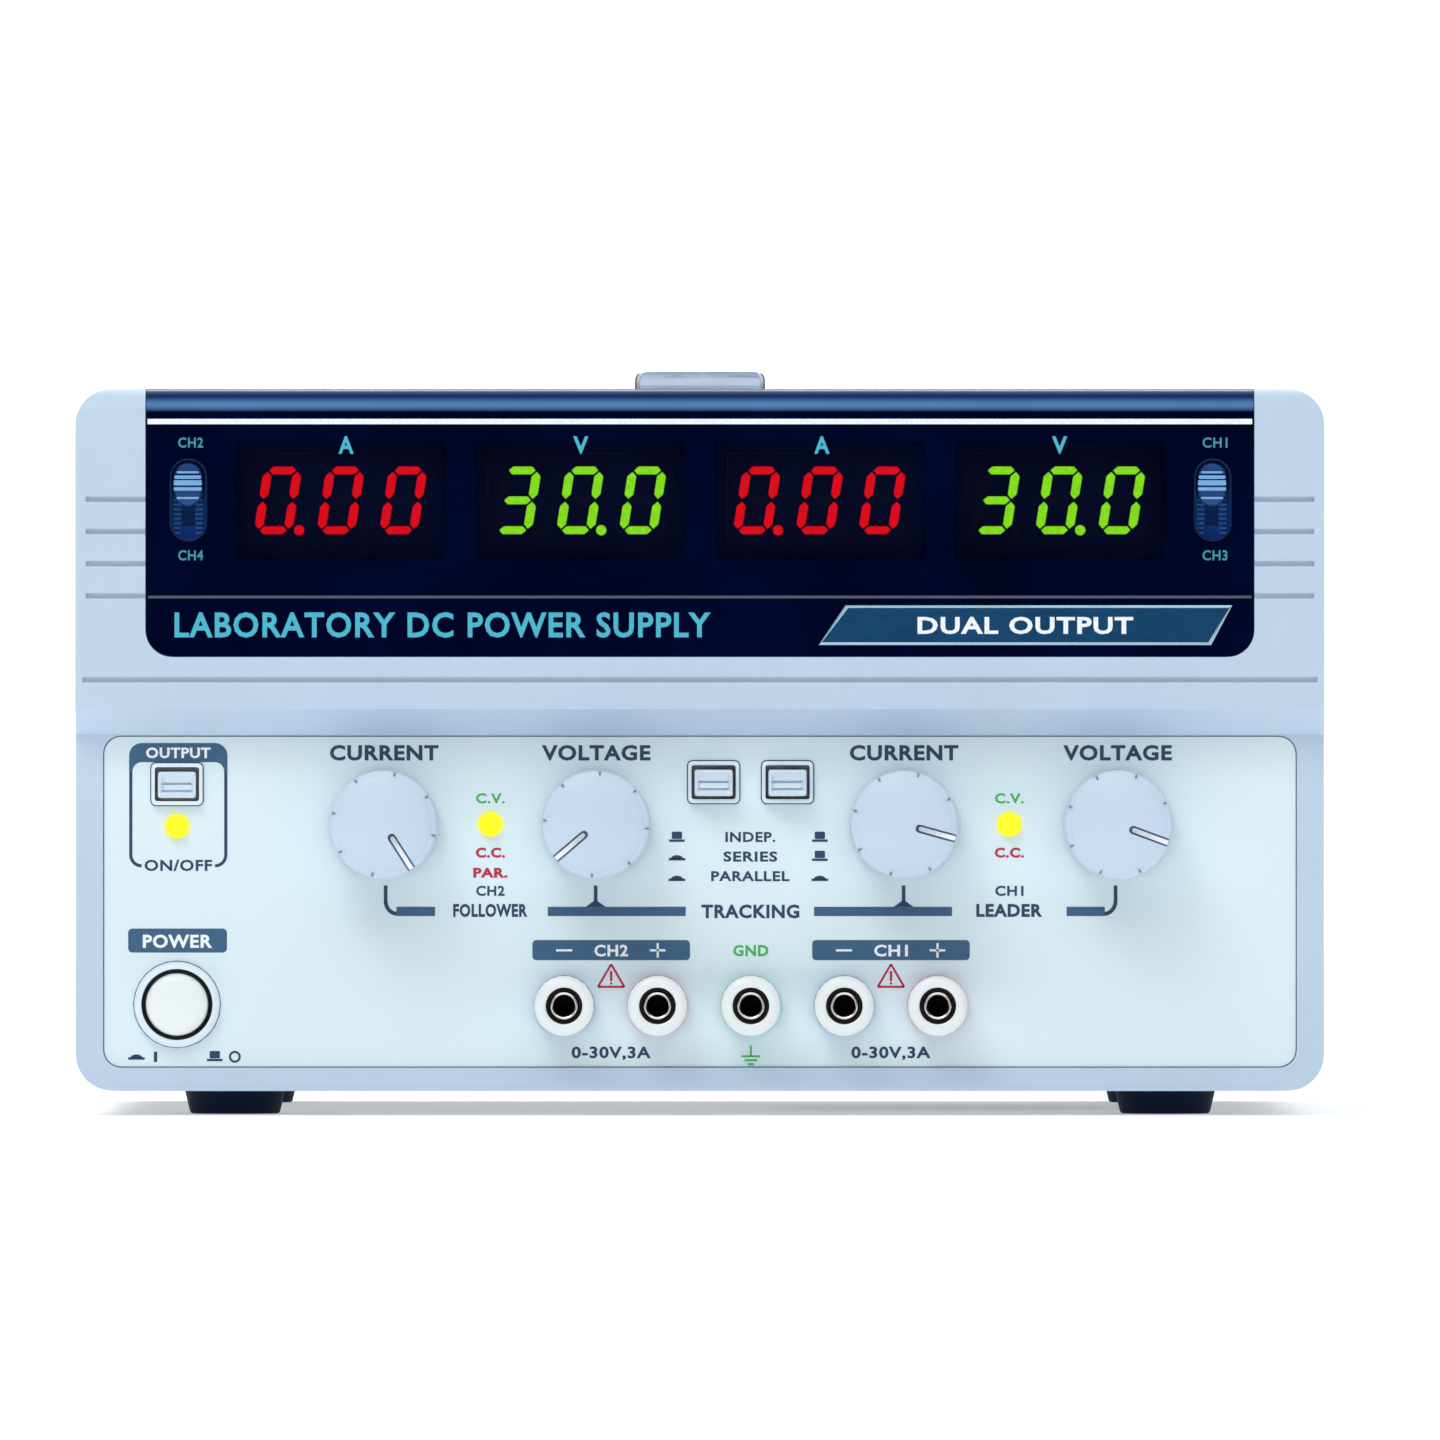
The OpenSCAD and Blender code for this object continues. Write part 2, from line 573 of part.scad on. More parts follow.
module top_cover() color([0.74, 0.8, 0.86]) difference() {
    front_plate(24, case_depth + 0.4) difference() {
        sheet_outline(case_x, case_z, case_top, case_r);
        sheet_outline(case_x - sheet, case_z + sheet, case_top - sheet, case_r - sheet);
        translate([-bezel_w, 0]) square([2 * bezel_w, case_z + case_r + 0.5]);
    }
    // side air slots, low for the intake and high for the exhaust
    for (row = [0, 1], i = [0:15]) side_bar(-bezel_w, bezel_w) translate([62 + i * 11.5, 48 + row * 58]) slot(3.2, 38);
    // top air slots on both sides of the handle
    for (side = [-1, 1], i = [0:13]) at(side * 72, 120 + i * 8.5, case_top)
        rotate([0, 0, 90]) linear_extrude(6, center = true) slot(3.2, 62);
    for (side = [-1, 1], z = cover_screws_z) cross_hole(side, cover_screws_d, z, 1.8);
    for (side = [-1, 1]) cross_hole(side, pan_screws_d, pan_screws_z, 1.8);
    for (d = handle_d) post(0, d, case_top - 5, case_top + 5, 2);
}

// Pan-head screws for the feet, cover, fan, mains inlet, handle, bezel and display board
module case_screws() color([0.72, 0.73, 0.75]) {
    for (side = [-1, 1], d = foot_d) screw_vertical(side * foot_x, d, 4, 8, 1.6, 3.4, true);
    for (side = [-1, 1], z = cover_screws_z) screw_side(side, cover_screws_d, z, 5, 1.5, 2.8);
    for (side = [-1, 1]) screw_side(side, pan_screws_d, pan_screws_z, 5, 1.5, 2.8);
    for (sx = [-1, 1], sz = [-1, 1])
        screw_back(fan_x + sx * fan_pitch, fan_z + sz * fan_pitch, case_depth + 1.6, 12, 1.9, 3.4);
    for (sx = [-1, 1]) screw_back(inlet_x + sx * inlet_pitch, inlet_z, case_depth + flange_t, 8, 1.6, 2.9);
    for (d = handle_d) screw_vertical(0, d, strap_z + strap_t + 0.2, 8, 1.9, 3.4);
    for (side = [-1, 1], z = bezel_posts_z) screw_back(side * bezel_posts_x, z, upright_d + sheet, 4, 1.05, 2.4);
    for (x = display_posts_x) screw_back(x, display_posts_z, display_d + 1.6, 7, 1.05, 2.4);
}

module feet() color([0.02, 0.05, 0.1]) for (side = [-1, 1], d = foot_d) at(side * foot_x, d, 0) rotate_extrude()
    polygon([[4, 0], [8.9, 0], [9.25, 0.4], [10.8, case_z - 0.3], [10.5, case_z], [1.7, case_z], [1.7, 4], [4, 4]]);

// ---------------------------------------------------------------- power parts inside

module transformer_core() color([0.35, 0.36, 0.38]) difference() {
    block([core_x - core_w / 2, core_d[0], core_z], [core_x + core_w / 2, core_d[1], core_z + core_h]);
    for (side = [-1, 1]) at(core_x + side * 1.5 * core_leg, (core_d[0] + core_d[1]) / 2, core_z + core_h / 2)
        cube([core_leg, 80, 3 * core_leg], center = true);
}

module transformer_windings() color([0.72, 0.42, 0.2]) difference() {
    at(core_x, (core_d[0] + core_d[1]) / 2, core_z + core_leg + 0.2) linear_extrude(3 * core_leg - 0.4)
        polygon(rounded(4 * core_leg - 1, core_d[1] - core_d[0] + 2 * coil_out, 12));
    block([core_x - core_leg - 0.1, core_d[0] - 0.1, 0], [core_x + core_leg + 0.1, core_d[1] + 0.1, 120]);
}

module transformer_clamp() color([0.6, 0.62, 0.64]) difference() {
    x = core_w / 2 + 0.1;
    union() {
        block([core_x - x - clamp_t, 77, core_z], [core_x + x + clamp_t, 115, core_z + core_h + 0.1 + clamp_t]);
        block([core_x - clamp_bolt - 4.8, 77, core_z], [core_x + clamp_bolt + 4.8, 115, core_z + clamp_t]);
    }
    block([core_x - x, 60, core_z - 1], [core_x + x, 130, core_z + core_h + 0.1]);
    for (side = [-1, 1]) post(core_x + side * clamp_bolt, 96, core_z - 1, 20, 2.6);
}

// Bolts with their heads under the chassis pan and their nuts on the clamp
module transformer_bolts() color([0.7, 0.7, 0.72]) for (side = [-1, 1]) {
    post(core_x + side * clamp_bolt, 96, case_z - 2.4, case_z, 4);
    post(core_x + side * clamp_bolt, 96, case_z, core_z + clamp_t + 5, 2.5);
    at(core_x + side * clamp_bolt, 96, core_z + clamp_t) cylinder(r = 4, h = 3.6, $fn = 6);
}

module main_board() color([0.05, 0.3, 0.15]) difference() {
    block([main_board_x[0], 52, main_board_z], [main_board_x[1], 228, main_board_z + 1.6]);
    for (x = board_posts_x, d = board_posts_d) post(x, d, 10, 30, 1.6);
}

module filter_capacitors() color([0.1, 0.12, 0.2]) for (x = [36, 71], d = [96, 136, 176])
    post(x, d, main_board_z + 1.6, main_board_z + 46, 15);

module rectifier_bridges() color([0.15, 0.15, 0.16]) for (d = [82, 150]) difference() {
    block([89, d, main_board_z + 1.6], [115, d + 26, main_board_z + 12]);
    post(102, d + 13, 10, 40, 2.2);
}

module heat_sinks() color([0.12, 0.12, 0.13]) for (side = [-1, 1]) union() {
    block([fan_x + side * 7.5 - 2.5, 142, core_z], [fan_x + side * 7.5 + 2.5, 234, 136]);
    for (i = [0:11])
        block([fan_x + side * 27.5 - 17.6, 142, 34 + i * 9], [fan_x + side * 27.5 + 17.6, 234, 36 + i * 9]);
}

module power_transistors() color([0.2, 0.2, 0.21]) for (side = [-1, 1], d = [160, 200], z = [60, 100])
    block([fan_x + side * 2.7 - 2.3, d, z], [fan_x + side * 2.7 + 2.3, d + 16, z + 20]);

// Snap-in posts: a shoulder that the board rests on, and a pin through the board
module board_standoffs() color([0.8, 0.7, 0.4]) {
    for (x = board_posts_x, d = board_posts_d) {
        post(x, d, case_z + sheet, main_board_z, 3);
        post(x, d, main_board_z - 1, main_board_z + 3, 1.5);
    }
    for (x = control_posts_x) {
        rod(x, control_posts_z, upright_d + sheet, board_d, 2.8);
        rod(x, control_posts_z, board_d - 1, board_d + 3, 1.5);
    }
}

module fan_frame() color([0.07, 0.07, 0.08]) difference() {
    union() {
        difference() {
            front_plate(fan_d, case_depth - sheet) translate([fan_x, fan_z]) polygon(rounded(80, 80, 4));
            rod(fan_x, fan_z, 200, 270, fan_bore);
            for (sx = [-1, 1], sz = [-1, 1]) rod(fan_x + sx * fan_pitch, fan_z + sz * fan_pitch, 200, 270, 2.1);
        }
        rod(fan_x, fan_z, fan_d, fan_d + 3, 16);
        for (a = [0:90:270]) rotate_about(fan_x, fan_z, a)
            block([fan_x + 10, fan_d, fan_z - 2], [fan_x + 39, fan_d + 3, fan_z + 2]);
    }
    rod(fan_x, fan_z, 200, 270, 1.56);
}

module fan_rotor() color([0.09, 0.09, 0.1]) {
    difference() {
        rod(fan_x, fan_z, fan_d + 4, fan_d + 23, 16);
        rod(fan_x, fan_z, fan_d + 3, fan_d + 20, 14.5);
    }
    rod(fan_x, fan_z, fan_d + 0.5, fan_d + 20, 1.5);
    for (a = [0:7]) rotate_about(fan_x, fan_z, a * 360 / 7 + 12) intersection() {
        at(fan_x + 26, fan_d + 13.5, fan_z) rotate([38, 0, 0]) cube([21.4, 22, 1.6], center = true);
        block([fan_x + 15.3, fan_d + 5.5, fan_z - 20], [fan_x + 37, fan_d + 21.5, fan_z + 20]);
    }
}

module fan_guard() color([0.75, 0.76, 0.78]) {
    lug_r = fan_pitch * sqrt(2);
    for (r = [10, 18, 26, 34]) lathe(fan_x, fan_z, [for (k = [0:11])
        [r + 0.9 * cos(k * 30), case_depth + 3.1 + 0.9 * sin(k * 30)]]);
    for (a = [0:90:270]) rotate_about(fan_x, fan_z, a + 45) difference() {
        union() {
            block([fan_x + 8, case_depth + 0.9, fan_z - 0.8], [fan_x + 46.9, case_depth + 2.3, fan_z + 0.8]);
            rod(fan_x + lug_r, fan_z, case_depth, case_depth + 1.6, 4);
            block([fan_x + 44, case_depth + 0.2, fan_z - 0.8], [fan_x + 46.9, case_depth + 2.3, fan_z + 0.8]);
        }
        rod(fan_x + lug_r, fan_z, 260, 275, 2.2);
    }
}

// ---------------------------------------------------------------- mains inlet

module ac_inlet() color([0.06, 0.06, 0.07]) difference() {
    union() {
        front_plate(case_depth, case_depth + flange_t) translate([inlet_x, inlet_z]) polygon(rounded(50, 37, 3));
        block([inlet_x - 13.6, 238, inlet_z - 16.4], [inlet_x + 13.6, case_depth + flange_t, inlet_z + 16.4]);
    }
    // the recess for the cord's connector, with two corners cut
    front_plate(249.5, 270) translate([inlet_x, recess_z])
        polygon([[-12, -8.2], [12, -8.2], [12, 4.2], [7.5, 8.2], [-7.5, 8.2], [-12, 4.2]]);
    // the slot of the fuse drawer
    block([inlet_x - 11.3, 243, drawer_z - 3.8], [inlet_x + 11.3, 270, drawer_z + 3.8]);
    for (sx = [-1, 1]) rod(inlet_x + sx * inlet_pitch, inlet_z, 260, 270, 1.7);
    for (x = [-7, 7]) block([inlet_x + x - 1, 230, recess_z - 4], [inlet_x + x + 1, 252, recess_z]);
    block([inlet_x - 1, 230, recess_z + 0.5], [inlet_x + 1, 252, recess_z + 4.5]);
}

module ac_inlet_pins() color([0.82, 0.8, 0.72]) {
    for (x = [-7, 7]) block([inlet_x + x - 1, 231, recess_z - 4], [inlet_x + x + 1, 261.5, recess_z]);
    block([inlet_x - 1, 231, recess_z + 0.5], [inlet_x + 1, 262.5, recess_z + 4.5]);
}

// The drawer that holds the glass fuse, with a notch for a fingernail
module fuse_drawer() {
    color([0.08, 0.08, 0.09]) difference() {
        block([inlet_x - 11, 245, drawer_z - 3.5], [inlet_x + 11, case_depth + 3.4, drawer_z + 3.5]);
        block([inlet_x - 10.3, 247, drawer_z - 2.8], [inlet_x + 10.3, 254, drawer_z + 4]);
        block([inlet_x - 3.5, case_depth + 1.8, drawer_z + 1.6], [inlet_x + 3.5, case_depth + 4, drawer_z + 4]);
    }
    color([0.8, 0.85, 0.85]) at(inlet_x - 10, 250.5, drawer_z - 0.1) rotate([0, 90, 0]) cylinder(r = 2.6, h = 20);
}

// ---------------------------------------------------------------- handle

// One chromed end cap; open is the side its strap comes out of, 1 towards the rear
module handle_cap(d, open) difference() {
    side_bar(-handle_w / 2, handle_w / 2) polygon([[d - open * 15, case_top], [d - open * 13.5, handle_top - 0.7],
        [d - open * 12.6, handle_top], [d + open * 13, handle_top], [d + open * 13, case_top]]);
    for (side = [-1, 1]) at(side * handle_w / 2, d, handle_top) rotate([0, 45, 0]) cube([1.6, 60, 1.6], center = true);
    block([-strap_w / 2 - 1.2, d - 11.8 - (open > 0 ? 0 : 5), case_top - 1],
        [strap_w / 2 + 1.2, d + 11.8 + (open > 0 ? 5 : 0), handle_top - 0.8]);
}

module handle_caps() color([0.85, 0.86, 0.88]) {
    handle_cap(handle_d[0], 1);
    handle_cap(handle_d[1], -1);
}

strap_mid = (handle_d[0] + handle_d[1]) / 2;

// The flexible ends of the strap, slotted so that they slide under the caps
module strap_ends() color([0.06, 0.06, 0.07]) for (i = [0, 1]) difference() {
    block([-strap_w / 2, i == 0 ? handle_d[0] - 8 : strap_mid + grip_l / 2 + 0.3, strap_z],
        [strap_w / 2, i == 0 ? strap_mid - grip_l / 2 - 0.3 : handle_d[1] + 8, strap_z + strap_t]);
    at(0, handle_d[i], strap_z - 1) linear_extrude(6) slot(4.2, 9.2);
}

module strap_grip() color([0.06, 0.06, 0.07])
    block([-strap_w / 2, strap_mid - grip_l / 2, strap_z], [strap_w / 2, strap_mid + grip_l / 2, strap_z + strap_t]);

// ---------------------------------------------------------------- wiring

module wiring_harness() color([0.7, 0.15, 0.1]) {
    // live and neutral, from the inlet to the mains switch
    for (side = [-1, 1]) tube([[inlet_x + side * 7, 230.6, recess_z - 2], [inlet_x + side * 7, 222, recess_z - 4],
        [inlet_x + side * 4 - 14, 212, 36 + side * 3], [16, 206, 32 + side * 3], [4, 180, 30 + side * 3],
        [4.5, 130, 30 + side * 3], [4.5, 66, 30 + side * 3], [-6, 48.5, 30 + side * 3],
        [-88, 48.5, 24 + side * 4], [output_x + 4, 48.5, power_z + side * 4], [output_x, 45.4, power_z + side * 4]], 1.4);
    // earth, from the inlet to the ground post
    tube([[inlet_x, 230.6, recess_z + 2.5], [inlet_x + 3, 222, recess_z + 2], [112, 212, 40], [120, 190, 32],
        [120, 70, 28], [112, 46, 16], [80, 41, 13], [post_x[2] + 12, 40, 13], [post_x[2] + 1, 36, 20],
        [post_x[2], 30.4, post_z]], 1.4);
    // transformer secondaries to the main board
    for (i = [0:3]) tube([[core_x + 20, core_d[0] - coil_out - 0.4, 46 + i * 6], [core_x + 26, 48.5, 46 + i * 6],
        [-4 + 4 * i, 46, 42 + i * 5], [9 + i * 4, 52, 34 + i * 3], [11 + i * 4, 62, main_board_z + 2]], 1.2);
    // main board to the output posts
    for (i = [0, 1, 3, 4]) tube([[34 + i * 9, 57, main_board_z + 2], [34 + i * 9, 50, 28],
        [(34 + i * 9 + post_x[i]) / 2, 39, 28], [post_x[i], 34, post_z + 0.5], [post_x[i], 30.4, post_z]], 1.2);
}

front_bezel();
control_panel();
display_window();
selector_guides();
button_bezels();
power_button_bezel();
indicator_leds();
negative_post_collars();
positive_post_collars();
ground_post_collar();
post_studs();
post_nuts();
display_modules();
display_board();
control_board();
potentiometers();
push_switches();
mains_switch();
meter_selector_switches();
chassis_pan();
rear_panel();
top_cover();
case_screws();
feet();
transformer_core();
transformer_windings();
transformer_clamp();
transformer_bolts();
main_board();
filter_capacitors();
rectifier_bridges();
heat_sinks();
power_transistors();
fan_frame();
fan_guard();
ac_inlet();
ac_inlet_pins();
handle_caps();
strap_ends();
board_standoffs();
wiring_harness();
ribbon_cable();
knob(0);  // ch2_current_knob
knob(1);  // ch2_voltage_knob
knob(2);  // ch1_current_knob
knob(3);  // ch1_voltage_knob
output_button();
tracking_button_left();
tracking_button_right();
power_button();
meter_selector(-1);  // meter_selector_left
meter_selector(1);  // meter_selector_right
post_cap(post_x[0]);  // ch2_negative_cap
post_cap(post_x[1]);  // ch2_positive_cap
post_cap(post_x[2]);  // ground_cap
post_cap(post_x[3]);  // ch1_negative_cap
post_cap(post_x[4]);  // ch1_positive_cap
fan_rotor();
fuse_drawer();
strap_grip();
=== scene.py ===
import json
import math

import bmesh
import bpy
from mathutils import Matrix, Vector


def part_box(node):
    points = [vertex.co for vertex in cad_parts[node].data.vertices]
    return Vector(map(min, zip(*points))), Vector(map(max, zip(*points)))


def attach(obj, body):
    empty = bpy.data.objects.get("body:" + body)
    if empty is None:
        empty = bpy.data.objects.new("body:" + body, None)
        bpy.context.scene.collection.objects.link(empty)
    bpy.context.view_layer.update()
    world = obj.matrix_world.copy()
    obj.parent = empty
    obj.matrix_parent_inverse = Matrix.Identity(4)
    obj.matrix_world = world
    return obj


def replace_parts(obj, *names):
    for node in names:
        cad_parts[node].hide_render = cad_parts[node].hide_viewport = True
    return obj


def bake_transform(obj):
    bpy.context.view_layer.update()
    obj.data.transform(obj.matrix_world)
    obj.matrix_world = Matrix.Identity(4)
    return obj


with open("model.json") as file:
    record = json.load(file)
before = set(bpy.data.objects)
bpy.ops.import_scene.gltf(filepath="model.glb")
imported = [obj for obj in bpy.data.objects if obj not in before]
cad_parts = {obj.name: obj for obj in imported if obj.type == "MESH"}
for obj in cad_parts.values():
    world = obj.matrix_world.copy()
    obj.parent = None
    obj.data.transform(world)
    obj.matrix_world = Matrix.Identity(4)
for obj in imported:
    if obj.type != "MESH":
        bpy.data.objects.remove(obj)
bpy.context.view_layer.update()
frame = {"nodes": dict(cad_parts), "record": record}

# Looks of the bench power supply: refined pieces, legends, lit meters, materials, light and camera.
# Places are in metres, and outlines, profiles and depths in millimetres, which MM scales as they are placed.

MM = 0.001
CASE = "case"


# ---- places, from the frame

def centre(node):
    low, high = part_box(node)
    return (low + high) / 2


def spot(node):
    return centre(node).x, centre(node).z


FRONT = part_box("front_bezel")[0].y  # foremost plane of the bezel
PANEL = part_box("control_panel")[0].y  # face of the control panel
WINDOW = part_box("display_window")[0].y  # face of the display window
POINTER = {"ch2_current_knob": -57.5, "ch2_voltage_knob": 220.5,  # each knob's setting, in degrees
           "ch1_current_knob": -15.5, "ch1_voltage_knob": -20.3}
KNOBS = list(POINTER)
CAPS = ["ch2_negative_cap", "ch2_positive_cap", "ground_cap", "ch1_negative_cap", "ch1_positive_cap"]
BUTTONS = ["output_button", "tracking_button_left", "tracking_button_right"]
SELECTORS = ["meter_selector_left", "meter_selector_right"]
SLOTS = {part["node"]: part["material_slot"] for part in frame["record"]["subparts"]}
METER_WIDTH = 37.6 * MM  # of one meter module


def added(name, data):
    """A new object in the scene."""
    obj = bpy.data.objects.new(name, data)
    bpy.context.scene.collection.objects.link(obj)
    return obj


# ---- camera

def make_camera():
    """A long lens square on to the front, framed so that the bezel fills most of the width."""
    view_width, lens, sensor = 293.8 * MM, 800, 36
    across, up = 4.1 * MM, 80.8 * MM
    data = bpy.data.cameras.new("camera")
    data.lens = lens
    data.sensor_width = sensor
    data.clip_end = 30
    camera = added("camera", data)
    camera.location = (across, FRONT - view_width * lens / sensor, up)
    camera.rotation_euler = (math.radians(90), 0, 0)
    bpy.context.scene.camera = camera


make_camera()


# ---- materials

def linear(*colour):
    """sRGB 0-255 to linear."""
    return [((c / 255 + 0.055) / 1.055) ** 2.4 if c > 10 else c / 255 / 12.92 for c in colour]


class Nodes:
    """A material under construction, with its coordinates in millimetres."""

    def __init__(self, name):
        self.material = bpy.data.materials.new(name)
        self.material.use_nodes = True
        self.tree = self.material.node_tree
        self.shader = self.tree.nodes["Principled BSDF"]
        where = self.new("TexCoord")
        scale = self.new("VectorMath")
        scale.operation = "SCALE"
        scale.inputs["Scale"].default_value = 1 / MM
        self.link(where.outputs["Object"], scale.inputs[0])
        self.where = scale.outputs[0]

    def new(self, kind):
        return self.tree.nodes.new("ShaderNode" + kind)

    def link(self, source, socket):
        self.tree.links.new(source, socket)

    def feed(self, socket, value):
        """Links a source to a socket, or sets the socket to a constant."""
        if isinstance(value, bpy.types.NodeSocket):
            self.link(value, socket)
        else:
            socket.default_value = value

    def noise(self, size, detail=3, stretch=(1, 1, 1)):
        """Noise with features of about that size, in millimetres; stretch lengthens it along an axis."""
        stretched = self.new("VectorMath")
        stretched.operation = "MULTIPLY"
        stretched.inputs[1].default_value = [1 / s for s in stretch]
        self.link(self.where, stretched.inputs[0])
        node = self.new("TexNoise")
        node.inputs["Scale"].default_value = 1 / size
        node.inputs["Detail"].default_value = detail
        self.link(stretched.outputs[0], node.inputs["Vector"])
        return node.outputs["Fac"]

    def ramp(self, source, low, high, start=0.3, end=0.7):
        node = self.new("MapRange")
        for name, value in (("From Min", start), ("From Max", end), ("To Min", low), ("To Max", high)):
            node.inputs[name].default_value = value
        self.link(source, node.inputs["Value"])
        return node.outputs["Result"]

    def math(self, operation, a, b=0.0):
        node = self.new("Math")
        node.operation = operation
        self.feed(node.inputs[0], a)
        self.feed(node.inputs[1], b)
        return node.outputs[0]

    def mix(self, factor, a, b):
        node = self.new("Mix")
        node.data_type = "RGBA"
        self.link(factor, node.inputs["Factor"])
        for name, colour in (("A", a), ("B", b)):
            self.feed(node.inputs[name], colour if isinstance(colour, bpy.types.NodeSocket) else (*colour, 1))
        return node.outputs["Result"]

    def bump(self, source, height, after=None):
        node = self.new("Bump")
        node.inputs["Strength"].default_value = 1
        node.inputs["Distance"].default_value = height * MM
        self.link(source, node.inputs["Height"])
        if after:
            self.link(after, node.inputs["Normal"])
        return node.outputs["Normal"]

    def between(self, source, dark, light, start=0.3, end=0.7):
        """A colour that goes from dark to light as the source rises from start to end."""
        return self.mix(self.ramp(source, 0, 1, start, end), dark, light)

    def finish(self, colour, rough, relief, **values):
        """The material, with its colour, roughness and relief linked and its constant values set."""
        for socket, source in (("Base Color", colour), ("Roughness", rough), ("Normal", relief)):
            self.link(source, self.shader.inputs[socket])
        self.set(**values)
        return self.material

    def set(self, **values):
        for name, value in values.items():
            self.shader.inputs[name.replace("_", " ")].default_value = value


def shade(colour, by):
    return [min(1, c * by) for c in colour]


def plastic(name, colour, rough=0.42, grain=0.35, height=0.006, patch=30, vary=0.035, coat=0.0, specular=0.4):
    """Moulded plastic: fine grain in relief, soft patches in colour, uneven gloss."""
    n = Nodes(name)
    patches = n.noise(patch, 4)
    fine = n.noise(grain, 2)
    tone = n.between(patches, shade(colour, 1 - vary), shade(colour, 1 + vary))
    speckled = n.mix(n.ramp(fine, 0, 0.25), tone, shade(colour, 1 - 2.5 * vary))
    return n.finish(speckled, n.ramp(patches, rough - 0.05, rough + 0.06), n.bump(fine, height),
                    Coat_Weight=coat, Coat_Roughness=0.12, Specular_IOR_Level=specular)


def metal(name, colour, rough=0.3, grain=0.5, stretch=(1, 1, 1), height=0.002, vary=0.05):
    """Bare metal: brushed or turned lines by stretch, and a slightly uneven polish."""
    n = Nodes(name)
    lines = n.noise(grain, 3, stretch)
    polish = n.ramp(n.noise(12, 3), rough - 0.06, rough + 0.08)
    tone = n.between(lines, shade(colour, 1 - vary), shade(colour, 1 + vary))
    return n.finish(tone, polish, n.bump(lines, height), Metallic=1)


def paint(name, colour):
    """Powder coat on sheet steel: orange peel over a fine texture."""
    n = Nodes(name)
    peel = n.noise(1.4, 2)
    fine = n.noise(0.25, 2)
    patches = n.noise(60, 4)
    tone = n.between(patches, shade(colour, 0.97), shade(colour, 1.02))
    speckled = n.mix(n.ramp(fine, 0, 0.3), tone, shade(colour, 0.9))
    relief = n.bump(fine, 0.004, after=n.bump(peel, 0.012))
    return n.finish(speckled, n.ramp(patches, 0.4, 0.5), relief, Specular_IOR_Level=0.45)


def grained(name, dark, light, rough, height, size, detail=3, stretch=(1, 1, 1), **values):
    """One grain that sets colour, roughness and relief together."""
    n = Nodes(name)
    grain = n.noise(size, detail, stretch)
    return n.finish(n.between(grain, dark, light), n.ramp(grain, *rough), n.bump(grain, height), **values)


def ink(name, colour, rough=0.5):
    """Screen print: slightly uneven cover."""
    return grained(name, shade(colour, 0.9), shade(colour, 1.08), (rough - 0.05, rough + 0.08), 0.003, 0.5)


def glow(name, colour, strength, edge):
    """A lit lens: bright, with a little unevenness in the diffuser."""
    n = Nodes(name)
    cloud = n.noise(0.8, 2)
    n.link(n.between(cloud, shade(colour, edge), colour), n.shader.inputs["Emission Color"])
    n.link(n.between(cloud, shade(colour, 0.05), shade(colour, 0.1)), n.shader.inputs["Base Color"])
    n.set(Emission_Strength=strength, Roughness=0.4, Specular_IOR_Level=0.1)
    return n.material


def smoked_window():
    """Tinted acrylic: printed dark behind but over the meters, with a painted reflection that makes it bluer
    where it curves back at the top and a painted glint along that curve.
    """
    n = Nodes("smoked_window")
    low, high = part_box("display_modules")
    pitch = (high.x - low.x - METER_WIDTH) / 3 / MM
    half_w, half_h = METER_WIDTH / 2 / MM, (high.z - low.z) / 2 / MM
    split = n.new("SeparateXYZ")
    n.link(n.where, split.inputs[0])
    up = split.outputs["Z"]

    def away(source, middle):
        return n.math("ABSOLUTE", n.math("SUBTRACT", source, middle))

    across = away(away(n.math("ABSOLUTE", split.outputs["X"]), pitch), pitch / 2)
    level = away(up, (low.z + high.z) / 2 / MM)
    in_x = n.ramp(across, 1, 0, half_w + 2, half_w + 3)
    in_z = n.ramp(level, 1, 0, half_h + 2, half_h + 3)
    clear = n.math("MULTIPLY", in_x, in_z)
    n.link(n.ramp(clear, 1.0, 0.22, 0, 1), n.shader.inputs["Alpha"])
    smear = n.noise(25, 4)
    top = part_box("display_window")[1].z / MM
    # painted reflection: a lighter blue band on the curved top, and a painted highlight (glint) running along it
    reflection_band = n.ramp(up, 0, 1, top - 4.3, top - 3.9)
    glint = n.ramp(away(up, top - 2.9), 1, 0, 0.3, 1.5)
    flat = n.between(smear, linear(0, 4, 32), linear(1, 8, 44))
    body = n.mix(reflection_band, flat, linear(14, 42, 92))
    lit = n.mix(n.math("MULTIPLY", glint, n.ramp(smear, 0.85, 1.0)), body, linear(82, 128, 176))
    return n.finish(lit, n.ramp(smear, 0.05, 0.1), n.bump(n.noise(8, 2), 0.0008), Specular_IOR_Level=0.025)


def circuit_board():
    """Green solder mask over tracks."""
    n = Nodes("circuit_board")
    tracks = n.noise(3, 1, (6, 6, 1))
    tone = n.between(tracks, (0.01, 0.09, 0.035), (0.015, 0.16, 0.06), 0.48, 0.52)
    return n.finish(tone, n.ramp(n.noise(1.5, 2), 0.25, 0.4), n.bump(tracks, 0.02))


def strap_vinyl():
    """Soft black vinyl with a pebbled grain."""
    n = Nodes("strap_vinyl")
    pebble = n.new("TexVoronoi")
    pebble.inputs["Scale"].default_value = 1 / 0.9
    n.link(n.where, pebble.inputs["Vector"])
    worn = n.noise(14, 4)
    tone = n.between(worn, (0.012, 0.013, 0.016), (0.03, 0.031, 0.036))
    return n.finish(tone, n.ramp(worn, 0.45, 0.65), n.bump(pebble.outputs["Distance"], 0.09))


def windings():
    """Copper wire under yellowish tape: fine turns around the coil."""
    return grained("copper_winding", (0.35, 0.14, 0.04), (0.62, 0.3, 0.1), (0.3, 0.5), 0.15, 1.0, 2, (8, 8, 0.6),
                   Metallic=0.4)


def laminations():
    """Stacked steel sheets seen on edge."""
    return grained("core_laminations", (0.07, 0.07, 0.075), (0.22, 0.22, 0.23), (0.4, 0.6), 0.12, 0.7, 1,
                   (60, 1, 60), Metallic=0.8)


